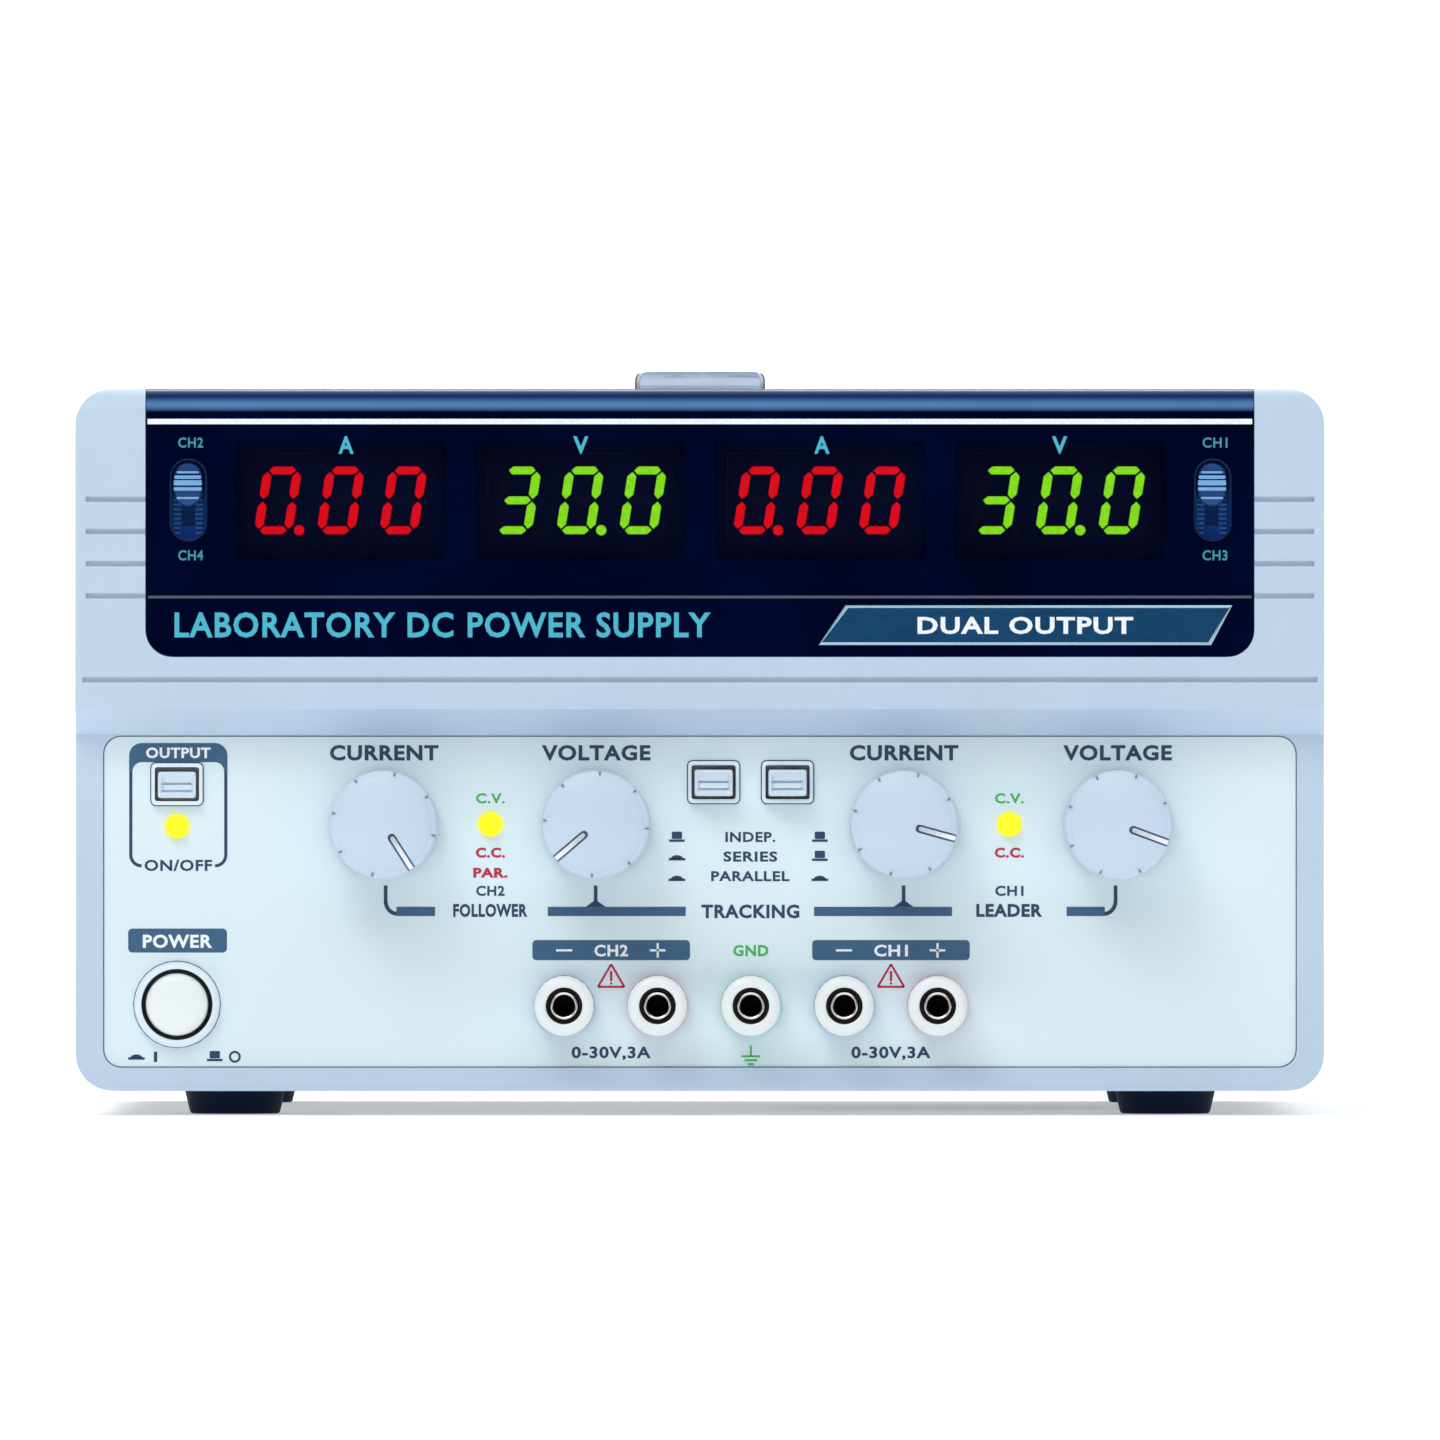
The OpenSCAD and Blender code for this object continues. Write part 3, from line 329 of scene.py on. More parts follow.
PLASTICS = {  # colour, roughness and what differs from the usual
    "bezel_plastic": (linear(190, 210, 230), 0.4, dict(grain=0.4, height=0.03, vary=0.02)),
    "panel_film": (linear(221, 238, 244), 0.45, dict(grain=0.22, height=0.002, patch=45, vary=0.012)),
    "navy_plastic": (linear(16, 72, 156), 0.4, dict(specular=0.1)),
    "button_bezel_plastic": (linear(228, 240, 248), 0.3, dict(vary=0.012, coat=0.2)),
    "collar_blue": (linear(112, 144, 190), 0.3, dict(coat=0.2)),
    "collar_red": (linear(224, 128, 148), 0.3, dict(coat=0.2)),
    "collar_green": (linear(104, 190, 170), 0.3, dict(coat=0.2)),
    "black_plastic": ((0.018, 0.018, 0.021), 0.45, dict(vary=0.1)),
    "ivory_plastic": ((0.72, 0.7, 0.6), 0.45, {}),
    "foot_rubber": (linear(4, 22, 50), 0.6, dict(grain=0.5, height=0.02, vary=0.12, specular=0.15)),
    "capacitor_sleeve": ((0.01, 0.02, 0.06), 0.25, dict(coat=0.3)),
    "wire_jacket": ((0.5, 0.04, 0.03), 0.35, dict(coat=0.2)),
    "ribbon_jacket": ((0.45, 0.45, 0.47), 0.4, {}),
    "button_plastic": (linear(212, 227, 242), 0.35, dict(vary=0.012, coat=0.1)),
    "selector_plastic": (linear(30, 74, 136), 0.3, dict(vary=0.05, coat=0.08, specular=0.2)),
    "knob_plastic": (linear(199, 217, 237), 0.36, dict(height=0.025, vary=0.02)),
    "cap_plastic": (linear(238, 243, 243), 0.28, dict(vary=0.01, coat=0.3)),
    "unlit_segment": (linear(10, 12, 34), 0.5, dict(vary=0.1, specular=0.1)),
    # painted highlight: a lighter blue for the selector thumbs' cross bars
    "selector_light": (linear(118, 172, 224), 0.3, dict(vary=0.05, coat=0.1)),
    "rim_blue": (linear(14, 34, 76), 0.5, dict(vary=0.05, specular=0.1)),
    # painted highlight: a lighter blue for the ribs on the selector floors
    "rib_blue": (linear(72, 130, 200), 0.5, dict(vary=0.05, specular=0.1)),
    "socket_black": ((0.005, 0.005, 0.007), 0.4, dict(vary=0.1, specular=0.12)),
    "meter_black": (linear(6, 12, 42), 0.6, dict(vary=0.1, specular=0.05)),
    "switch_blue": (linear(18, 62, 124), 0.5, dict(vary=0.1, specular=0.1)),
    "sweep": ((0.9, 0.91, 0.92), 0.8, dict(grain=8, height=0.01, patch=400, vary=0.01)),
}
METALS = {  # the same columns
    "plated_brass": ((0.62, 0.57, 0.52), 0.22, dict(grain=0.15)),
    "zinc_steel": ((0.62, 0.64, 0.67), 0.3, dict(grain=0.4)),
    "bright_metal": ((0.6, 0.62, 0.64), 0.32, dict(grain=0.4)),
    "zinc_sheet": ((0.6, 0.62, 0.64), 0.34, dict(grain=1.2, stretch=(1, 14, 1))),
    "black_aluminium": ((0.03, 0.03, 0.033), 0.4, dict(stretch=(1, 10, 1), height=0.003, vary=0.15)),
    "chrome_trim": ((0.82, 0.85, 0.88), 0.14, dict(grain=3, height=0.0005, vary=0.01)),
    "badge_blue": (linear(34, 84, 128), 0.3, dict(grain=0.3, stretch=(12, 1, 1), height=0.003, vary=0.08)),
    "badge_edge": (linear(150, 176, 196), 0.2, dict(grain=0.3)),
}
INKS = {
    "navy_ink": (28, 60, 92),
    "header_ink": (49, 93, 128),
    "green_ink": (60, 180, 80),
    "red_ink": (190, 30, 60),
    "white_ink": (240, 246, 250),
    "cyan_ink": (62, 178, 205),
    "teal_ink": (50, 146, 156),
    # painted highlight: the grey of the ridge across the window
    "ridge_grey": (92, 98, 122),
    # painted shade for the knobs' pointer slots and notch ticks
    "pointer_groove": (104, 130, 164),
}
LIT = {  # colour, strength and how bright the edge of a patch is
    "led_lens": (linear(255, 250, 40), 1.05, dict(edge=0.92)),
    "red_lit": (linear(250, 8, 12), 1.22, dict(edge=0.8)),
    "green_lit": (linear(150, 250, 26), 1.35, dict(edge=0.75)),
}
LOOKS = {"smoked_window": smoked_window(), "circuit_board": circuit_board(), "strap_vinyl": strap_vinyl(),
         "copper_winding": windings(), "core_laminations": laminations(),
         "case_paint": paint("case_paint", linear(188, 204, 221)),
         "pointer_white": ink("pointer_white", linear(250, 252, 255), 0.4)}
for look, colour in INKS.items():
    LOOKS[look] = ink(look, linear(*colour))
for maker, table in ((plastic, PLASTICS), (metal, METALS), (glow, LIT)):
    for look, (colour, rough, options) in table.items():
        LOOKS[look] = maker(look, colour, rough, **options)


# ---- mesh tools

def new_piece(name, mesh, look, body, slot=None, smooth=40, replaces=None):
    """A piece from (points, faces) on its body; slot, meant for a look whose name is no slot of the record, is
    not used.
    """
    data = smoothed(name, mesh, smooth)
    data.materials.append(LOOKS[look])
    piece = added(name, data)
    if body:
        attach(piece, body)
    if slot or look in SLOTS.values():
        slot or look
    if replaces:
        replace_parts(piece, replaces)
    return piece


def smoothed(name, shape, smooth):
    """A mesh of (points, faces): welded, normals outward, and smooth but over edges sharper than smooth."""
    mesh = bpy.data.meshes.new(name)
    mesh.from_pydata(shape[0], [], shape[1])
    bm = bmesh.new()
    bm.from_mesh(mesh)
    bmesh.ops.remove_doubles(bm, verts=bm.verts, dist=1e-7)
    bmesh.ops.recalc_face_normals(bm, faces=bm.faces)
    bm.to_mesh(mesh)
    bm.free()
    mesh.polygons.foreach_set("use_smooth", [True] * len(mesh.polygons))
    mesh.set_sharp_from_angle(angle=math.radians(smooth))
    mesh.update()
    return mesh


def add_bevel(piece, width):
    bevel = piece.modifiers.new("edges", "BEVEL")
    bevel.width = width * MM
    bevel.segments = 3
    bevel.limit_method = "ANGLE"
    bevel.angle_limit = math.radians(32)


def joined(parts):
    """Several (points, faces) as one."""
    verts, faces = [], []
    for v, f in parts:
        start = len(verts)
        verts += v
        faces += [[i + start for i in face] for face in f]
    return verts, faces


def loft(loops, ends=True, ring=False):
    """Faces between loops of the same number of points; ring joins the last loop to the first."""
    n = len(loops[0])
    verts = [p for loop in loops for p in loop]
    count = len(loops)
    faces = []
    for i in range(count if ring else count - 1):
        a, b = i * n, (i + 1) % count * n
        faces += [[a + k, a + (k + 1) % n, b + (k + 1) % n, b + k] for k in range(n)]
    if ends and not ring:
        faces += [list(range(n)), list(range((count - 1) * n, count * n))[::-1]]
    return verts, faces


def lathe(profile, base, x, z, segments=96, reach=None):
    """Turns (radius, depth behind base) points round x, z; reach(radius, depth, angle) trims the radius."""
    loops = []
    for r, depth in profile:
        loop = []
        for k in range(segments):
            a = 2 * math.pi * k / segments
            rr = reach(r, depth, a) if reach else r
            loop.append((x + rr * MM * math.cos(a), base + depth * MM, z + rr * MM * math.sin(a)))
        loops.append(loop)
    closed = profile[0] == profile[-1]
    return loft(loops[:-1] if closed else loops, ring=closed)


def soften(points, r, n=4):
    """Rounds each inner corner of a line of points by about r."""
    out = [points[0]]
    for a, b, c in zip(points, points[1:], points[2:]):
        a, b, c = Vector(a), Vector(b), Vector(c)
        reach = min(r, (a - b).length * 0.45, (c - b).length * 0.45)
        p = b + (a - b).normalized() * reach
        q = b + (c - b).normalized() * reach
        for t in [i / n for i in range(n + 1)]:
            out.append(tuple(p * (1 - t) ** 2 + b * 2 * t * (1 - t) + q * t * t))
    return out + [points[-1]]


def arc(x, z, r, start, end, n, r_z=None):
    """Points on an arc from one angle to another, in degrees; r_z makes it an oval."""
    angles = [math.radians(start + (end - start) * i / n) for i in range(n + 1)]
    return [(x + r * math.cos(a), z + (r_z or r) * math.sin(a)) for a in angles]


def round_rect(w, h, r, n=6):
    """A rectangle with round corners round the origin."""
    r = min(r, w / 2 - 1e-4, h / 2 - 1e-4)
    u, v = w / 2 - r, h / 2 - r
    corners = ((u, v, 0), (-u, v, 90), (-u, -v, 180), (u, -v, 270))
    return [point for x, z, start in corners for point in arc(x, z, r, start, start + 90, n)]


def rectangle(w, h):
    return [(-w / 2, -h / 2), (w / 2, -h / 2), (w / 2, h / 2), (-w / 2, h / 2)]


def rotated(outline, angle):
    c, s = math.cos(angle), math.sin(angle)
    return [(u * c - v * s, u * s + v * c) for u, v in outline]


def placed(outline, x, z, y):
    return [(x + u * MM, y, z + v * MM) for u, v in outline]


def solid_outline(outline, x, z, y0, y1):
    """A flat outline round x, z, given thickness from y0 to y1."""
    return loft([placed(outline, x, z, y) for y in (y0, y1)])


def stacked(sections, x, z, base, ring=False, n=6):
    """Rounded rectangles (width, height, corner, depth behind base), each joined to the next."""
    return loft([placed(round_rect(w, h, r, n), x, z, base + d * MM) for w, h, r, d in sections], ring=ring)


# ---- CAD nodes that stay

def smooth_group():
    """Smooth shading everywhere but over edges sharper than 30 degrees."""
    group = bpy.data.node_groups.new("smooth_by_angle", "GeometryNodeTree")
    for way in ("INPUT", "OUTPUT"):
        group.interface.new_socket("Geometry", in_out=way, socket_type="NodeSocketGeometry")
    start, end, faces, edges, angle, sharp = [group.nodes.new(kind) for kind in (
        "NodeGroupInput", "NodeGroupOutput", "GeometryNodeSetShadeSmooth", "GeometryNodeSetShadeSmooth",
        "GeometryNodeInputMeshEdgeAngle", "FunctionNodeCompare")]
    edges.domain = "EDGE"
    edges.inputs["Shade Smooth"].default_value = False
    sharp.data_type = "FLOAT"
    sharp.operation = "GREATER_THAN"
    sharp.inputs["B"].default_value = math.radians(30)
    for source, socket in ((start.outputs[0], faces.inputs["Geometry"]),
                           (faces.outputs[0], edges.inputs["Geometry"]),
                           (angle.outputs["Unsigned Angle"], sharp.inputs["A"]),
                           (sharp.outputs["Result"], edges.inputs["Selection"]),
                           (edges.outputs[0], end.inputs[0])):
        group.links.new(source, socket)
    return group


SMOOTH = smooth_group()
EDGE_WIDTHS = {"front_bezel": 0.3, "control_panel": 0.3, "display_window": 0.25, "top_cover": 0.25,
               "rear_panel": 0.2, "chassis_pan": 0.2, "feet": 0.5, "handle_caps": 0.7, "ac_inlet": 0.4,
               "fan_frame": 0.3, "fuse_drawer": 0.3, "fan_rotor": 0.2, "transformer_clamp": 0.3,
               "case_screws": 0.15}
OTHER_LOOKS = {"display_modules": "meter_black", "meter_selector_switches": "switch_blue"}


def dress(name, obj):
    """Gives a CAD node its clean shading, softened edges and material."""
    weld = obj.modifiers.new("weld", "WELD")
    weld.merge_threshold = 1e-6
    flat = obj.modifiers.new("flat", "DECIMATE")
    flat.decimate_type = "DISSOLVE"
    flat.angle_limit = math.radians(0.5)
    if name in EDGE_WIDTHS:
        add_bevel(obj, EDGE_WIDTHS[name])
    obj.modifiers.new("shading", "NODES").node_group = SMOOTH
    if name in EDGE_WIDTHS:
        obj.modifiers.new("normals", "WEIGHTED_NORMAL").keep_sharp = True
    obj.data.materials.clear()
    obj.data.materials.append(LOOKS[OTHER_LOOKS.get(name, SLOTS[name])])


for node, part in frame["nodes"].items():
    dress(node, part)


# ---- knobs

KNOB_R = (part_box(KNOBS[0])[1].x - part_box(KNOBS[0])[0].x) / 2 / MM


def notched(axis_r, notch_r, angles):
    """Trims a radius by upright cylinders of notch_r, whose axes stand axis_r out at the given angles."""
    def trim(r, a):
        best = r
        for at in angles:
            off = math.atan2(math.sin(a - at), math.cos(a - at))
            side = axis_r * abs(math.sin(off))
            if abs(off) < 1 and side < notch_r:
                best = min(best, axis_r * math.cos(off) - math.sqrt(notch_r ** 2 - side ** 2))
        return best
    return trim


def cut(piece, cutter):
    """The first (points, faces) less the second."""
    made = [added("cut", smoothed("cut", shape, 30)) for shape in (piece, cutter)]
    boolean = made[0].modifiers.new("cut", "BOOLEAN")
    boolean.operation = "DIFFERENCE"
    boolean.solver = "EXACT"
    boolean.object = made[1]
    bpy.context.view_layer.update()
    result = made[0].evaluated_get(bpy.context.evaluated_depsgraph_get()).to_mesh()
    verts = [tuple(v.co) for v in result.vertices]
    faces = [list(p.vertices) for p in result.polygons]
    for obj in made:
        bpy.data.objects.remove(obj)
    return verts, faces


def slot_outline(start, end, half, angle):
    """A slot from start to end along a direction, round at its start."""
    return rotated(arc(start, 0, half, 90, 270, 8) + [(end, -half), (end, half)], angle)


def make_knob(name):
    """A knob with a dished face, a sunk pointer and seven notches, and its shaft; the dark ticks at the notches
    and the dark floor of the pointer slot are painted shade.
    """
    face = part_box(name)[0].y
    x, z = spot(name)
    angle = math.radians(POINTER[name])
    notches = [angle + math.radians(45 * k) for k in range(1, 8)]
    foot, lip_start = 16, 9.8

    def slab(outline, front, back):
        return solid_outline(outline, x, z, face + front * MM, face + back * MM)

    dish = [(r + 0.02, 1.35 * (r / 9.3) ** 2) for r in (0, 1.5, 3, 4.5, 6, 7.5, 8.7, 9.3)]
    lip = [(9.6, 1.5), (9.85, 1.68), (10.1, 1.72), (10.5, 1.85), (10.8, 2.05), (KNOB_R - 0.1, 2.4)]
    skirt = [(KNOB_R, 3.2), (KNOB_R, foot - 0.7), (KNOB_R - 0.5, foot), (9.6, foot), (9.4, 4)]
    hub = [(5.3, 4), (5.1, foot + 0.3), (3.02, foot + 0.3), (3.02, 4.5), (0.02, 4.5)]
    trim = notched(KNOB_R + 0.05, 0.5, notches)

    def reach(r, depth, a):
        return trim(r, a) if r > lip_start else r

    body = lathe(dish + lip + skirt + hub, face, x, z, 320, reach)
    cutter = slab(slot_outline(3.2, KNOB_R + 1, 0.85, angle), -1, 2.3)
    new_piece(name + "_body", cut(body, cutter), "knob_plastic", name, smooth=28, replaces=name)
    # painted shade: a darker floor in the pointer slot and dark ticks at the notches, where the slot and notch
    # edges are in shade
    groove_shade = slab(slot_outline(3.24, KNOB_R - 0.3, 0.81, angle), 2.0, 2.28)
    shade_tick = [(10.0, -0.13), (10.75, -0.2), (10.75, 0.2), (10.0, 0.13)]
    shade_ticks = joined([slab(rotated(shade_tick, at), 1.56, 2.4) for at in notches])
    pointer = slab(slot_outline(3.42, KNOB_R - 0.35, 0.46, angle), 1.5, 1.99)
    for end, mesh, look in (("_groove", groove_shade, "pointer_groove"), ("_shade_ticks", shade_ticks, "pointer_groove"),
                            ("_pointer", pointer, "pointer_white")):
        new_piece(name + end, mesh, look, name, "knob_plastic", 30)
    shaft = [(0.02, 4.55), (2.98, 4.55), (2.98, 30.5), (2.6, 30.9), (0.02, 30.9)]
    new_piece(name + "_shaft", lathe(shaft, face, x, z, 48), "bright_metal", name)


for knob in KNOBS:
    make_knob(knob)


# ---- push buttons

def make_push_button(name):
    """A cap with a dished face and two grooves across it, and its plunger."""
    low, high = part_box(name)
    x, z = (low.x + high.x) / 2, (low.z + high.z) / 2 - 0.14 * MM
    w, h = (high.x - low.x) / MM, (high.z - low.z) / MM - 0.3
    half_w, half_h = w / 2 - 0.55, h / 2 - 0.55
    rows, columns = 48, 12
    steps = ((0.0, 7.2), (0.0, 0.5), (0.06, 0.25), (0.18, 0.08), (0.35, 0.0))
    sections = [(w - 2 * inset, h - 2 * inset, 0.55, d) for inset, d in steps]
    sections += [(w - 0.9, h - 0.9, 0.2, 0.0), (2 * half_w, 2 * half_h, 0.02, 0.02)]
    loops = [placed(round_rect(*size), x, z, low.y + d * MM) for *size, d in sections]
    verts, faces = loft(loops, ends=False)
    shell = (verts, faces + [list(range(len(loops[0])))])
    grid = []
    for i in range(rows + 1):
        v = -half_h + 2 * half_h * i / rows
        dish = 0.85 * (1 - (v / half_h) ** 2)
        grooves = sum(0.85 * max(0.0, 1 - abs(v - at) / 0.3) for at in (-1.3, 0.2))
        for k in range(columns + 1):
            u = -half_w + 2 * half_w * k / columns
            edge = min(1, (half_w - abs(u)) / 0.15, (half_h - abs(v)) / 0.15)
            grid.append((x + u * MM, low.y + (0.02 + (dish + grooves) * edge) * MM, z + v * MM))
    across = columns + 1
    corners = [i * across + k for i in range(rows) for k in range(columns)]
    face = (grid, [[a, a + 1, a + across + 1, a + across] for a in corners])
    plunger = solid_outline(rectangle(3, 3), x, z, low.y + 7.0 * MM, high.y)
    new_piece(name + "_piece", joined([shell, face, plunger]), "button_plastic", name, replaces=name)


for button in BUTTONS:
    make_push_button(button)


def make_button_bezels():
    """Frames round the push buttons, with rounded lips, and black sleeves in the gaps round the caps that are
    painted shade.
    """
    lips = [(10.5, 8.6, 1.0, 0.02), (10.5, 8.6, 1.0, -1.0), (10.35, 8.45, 0.95, -1.35),
            (10.0, 8.1, 0.85, -1.55), (9.4, 7.4, 0.6, -1.6), (9.05, 6.95, 0.5, -1.5), (8.85, 6.75, 0.4, -1.2),
            (8.8, 6.7, 0.35, 4.0), (10.0, 8.2, 0.35, 4.0), (10.0, 8.2, 0.35, 0.02)]
    # painted shade: a black sleeve in the gap round each cap, where that gap is in shade
    shade_wells = [(9.2, 7.1, 0.4, -1.42), (8.65, 6.55, 0.3, -1.36), (8.65, 6.55, 0.3, 3.8), (9.2, 7.1, 0.4, 3.8)]
    for name, look, sections, node in (("push_button_frames", "button_bezel_plastic", lips, "button_bezels"),
                                       ("push_button_shade_wells", "socket_black", shade_wells, None)):
        parts = [stacked(sections, *spot(button), PANEL, ring=True) for button in BUTTONS]
        new_piece(name, joined(parts), look, CASE, "button_bezel_plastic", replaces=node)


def make_power_button():
    """The round button with its plunger, its ring, and a black sleeve in the gap round the button that is
    painted shade.
    """
    low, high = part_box("power_button")
    x, z = spot("power_button")
    dome = [(0.02, 0.0), (1.6, 0.02), (3.2, 0.08), (4.6, 0.2), (5.5, 0.42), (6.05, 0.8), (6.35, 1.5),
            (6.4, 2.2), (6.4, 8.9), (0.02, 8.9)]
    plunger = solid_outline(rectangle(4, 4), x, z, low.y + 8.8 * MM, high.y)
    new_piece("power_button_cap", joined([lathe(dome, low.y, x, z), plunger]), "cap_plastic", "power_button",
              "button_plastic", replaces="power_button")
    ring = [(7.1, 4.4), (7.1, -1.9), (7.3, -2.2), (7.7, -2.3), (8.2, -2.1), (8.6, -1.6), (8.75, -0.9),
            (8.75, 0.02), (7.9, 0.02), (7.9, 4.4), (7.1, 4.4)]
    new_piece("power_button_ring", lathe(ring, PANEL, x, z), "button_bezel_plastic", CASE,
              replaces="power_button_bezel")
    # painted shade: a black sleeve in the gap round the button, where that gap is in shade
    shade_well = [(6.58, 4.3), (6.58, -1.95), (7.25, -2.18), (7.25, 4.3), (6.58, 4.3)]
    new_piece("power_button_shade_well", lathe(shade_well, PANEL, x, z), "socket_black", CASE, "button_bezel_plastic")


make_button_bezels()
make_power_button()


# ---- binding posts and lamps

def make_post_cap(name):
    """A fluted screw cap with its black insert."""
    low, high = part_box(name)
    x, z = spot(name)
    r = (high.x - low.x) / 2 / MM
    length = (high.y - low.y) / MM
    flutes, flute_start = 20, 1.3
    outer = [(3.75, 0.3), (4.1, 0.08), (4.7, 0.0), (r - 0.9, 0.12), (r - 0.35, 0.5), (r, 1.1),
             (r, length - 0.5), (r - 0.4, length), (3.75, length)]
    outer = soften(outer, 0.25, 3)
    trim = notched(r + 0.35, 0.55, [2 * math.pi * k / flutes for k in range(flutes)])

    def reach(radius, depth, a):
        return trim(radius, a) if radius > r - 0.3 and depth > flute_start else radius

    body = lathe(outer + outer[:1], low.y, x, z, 240, reach)
    new_piece(name + "_piece", body, "cap_plastic", name, smooth=35, replaces=name)
    insert = [(3.05, 0.7), (3.15, 0.5), (3.6, 0.5), (3.7, 0.6), (3.7, length - 0.2), (3.05, length - 0.2),
              (3.05, 0.7)]
    new_piece(name + "_insert", lathe(insert, low.y, x, z, 64), "socket_black", name, "black_plastic", 30)


for cap in CAPS:
    make_post_cap(cap)


def turned_at(caps, profile, base, segments):
    """The same turned shape behind each of the caps."""
    return joined([lathe(profile, base, *spot(cap), segments) for cap in caps])


def make_studs():
    """Plated studs with a bright lip, and the black lining of each socket."""
    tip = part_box("post_studs")[0].y
    stud = [(2.15, 16), (2.15, 0.5), (2.3, 0.1), (2.5, 0.0), (2.75, 0.08), (2.95, 0.35), (2.95, 26),
            (2.0, 26), (2.0, 34), (0.02, 34), (0.02, 16)]
    lining = [(2.14, 0.6), (2.06, 0.7), (2.06, 15.9), (0.02, 15.9), (0.02, 15.98), (2.14, 15.98), (2.14, 0.6)]
    new_piece("binding_post_studs", turned_at(CAPS, stud, tip, 64), "plated_brass", CASE, smooth=30,
              replaces="post_studs")
    new_piece("socket_linings", turned_at(CAPS, lining, tip, 64), "socket_black", CASE, "black_plastic", 30)


def make_collars():
    """Coloured collars: blue for the negative posts, red for the positive ones and green for ground."""
    collar = [(3.0, 7.9), (3.0, -2.0), (5.7, -2.0), (6.0, -1.8), (6.2, -1.3), (6.2, 0.0), (4.0, 0.0),
              (4.0, 7.9), (3.0, 7.9)]
    for node, look, caps in (("negative_post_collars", "collar_blue", CAPS[0::3]),
                             ("positive_post_collars", "collar_red", CAPS[1::3]),
                             ("ground_post_collar", "collar_green", CAPS[2:3])):
        new_piece(node + "_piece", turned_at(caps, collar, PANEL, 72), look, CASE, smooth=35, replaces=node)


def make_lamps():
    """Three lamps with their legs: one under the output button, and one between each pair of knobs."""
    low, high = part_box("indicator_leds")
    tip, flange, leg_gap = PANEL - 2.4 * MM, 2.9 * MM, 1.27 * MM
    between_knobs = (centre(KNOBS[0]).x + centre(KNOBS[1]).x) / 2 + 0.05 * MM
    lens = arc(0, 2.45, 2.42, -89, -1, 11) + [(2.42, 7.0), (2.9, 7.05), (2.9, 8.0), (0.02, 8.0)]
    leg = [(0.02, 7.9), (0.27, 7.9), (0.27, 19.7), (0.02, 19.7)]
    lenses, legs = [], []
    for x, z in ((low.x + flange, low.z + flange), (between_knobs, high.z - flange),
                 (high.x - flange, high.z - flange)):
        lenses.append(lathe(lens, tip, x, z, 48))
        legs += [lathe(leg, tip, x + side * leg_gap, z, 10) for side in (-1, 1)]
    new_piece("lamps", joined(lenses), "led_lens", CASE, replaces="indicator_leds")
    new_piece("lamp_legs", joined(legs), "bright_metal", CASE)


make_studs()
make_collars()
make_lamps()


# ---- meters

SEGMENTS = {"0": "abcdef", "3": "abcdg"}
DIGIT_W, DIGIT_H, DIGIT_PITCH = 6.05, 12.2, 12.8
UPRIGHT, LEVEL, GAP, SLANT = 1.8, 1.6, 0.3, math.tan(math.radians(9))


def bar(a, b, half):
    """A segment from a to b with pointed ends, as a flat outline."""
    a, b = Vector(a), Vector(b)
    along = (b - a).normalized() * half
    side = Vector((-along.y, along.x))
    return [a, a + along + side, b - along + side, b, b - along - side, a + along - side]


def segment_lines():
    w, h, g = DIGIT_W / 2, DIGIT_H / 2, GAP
    return {"a": ((-w + g, h), (w - g, h)), "b": ((w, h - g), (w, g)), "c": ((w, -g), (w, -h + g)),
            "d": ((-w + g, -h), (w - g, -h)), "e": ((-w, -g), (-w, -h + g)), "f": ((-w, h - g), (-w, g)),
            "g": ((-w + g, 0), (w - g, 0))}


def make_digits(words, x, z, face, lit, dark):
    """Three slanted digits with points round x, z; each bar and point goes to the lit or the dark ones."""
    point = arc(4.3, -6.1, 1.05, 0, 342, 19)
    for i, digit in enumerate(words.replace(".", "")):
        shapes = [(point, i == words.index(".") - 1)]
        for key, (a, b) in segment_lines().items():
            half = (LEVEL if key in "adg" else UPRIGHT) / 2
            outline = [(p.x + p.y * SLANT, p.y) for p in bar(a, b, half)]
            shapes.append((outline, key in SEGMENTS[digit]))
        for outline, is_lit in shapes:
            place = (x + (i - 1) * DIGIT_PITCH * MM, z, face - 0.3 * MM, face + 0.05 * MM)
            (lit if is_lit else dark).append(solid_outline(outline, *place))


def make_meters():
    """Lit and unlit digits on the four modules, and a dark shroud round the modules."""
    low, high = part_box("display_modules")
    edge, gap = 6.0 * MM, 0.03 * MM
    z = (low.z + high.z) / 2 - 0.05 * MM
    middles = [low.x + METER_WIDTH / 2 + (high.x - low.x - METER_WIDTH) * k / 3 for k in range(4)]
    red, green, dark = [], [], []
    for x, words, lit in zip(middles, ("0.00", "30.0") * 2, (red, green) * 2):
        make_digits(words, x, z, low.y, lit, dark)
    for name, parts, look in (("red_digits", red, "red_lit"), ("green_digits", green, "green_lit"),
                              ("unlit_segments", dark, "unlit_segment")):
        new_piece(name, joined(parts), look, CASE)
    lefts = [x - METER_WIDTH / 2 - gap for x in middles]
    rights = [x + METER_WIDTH / 2 + gap for x in middles]
    outer_left, outer_right = lefts[0] - edge, rights[-1] + edge
    bars = [(outer_left, outer_right, high.z + gap, high.z + edge),
            (outer_left, outer_right, low.z - edge, low.z - gap)]
    bars += [(a, b, low.z - gap, high.z + gap) for a, b in zip([outer_left] + rights, lefts + [outer_right])]
    depths = (low.y + 0.02 * MM, low.y + 1.0 * MM)
    parts = [loft([[(a, y, c), (b, y, c), (b, y, d), (a, y, d)] for y in depths]) for a, b, c, d in bars]
    new_piece("meter_shroud", joined(parts), "meter_black", CASE)


make_meters()


# ---- meter selectors

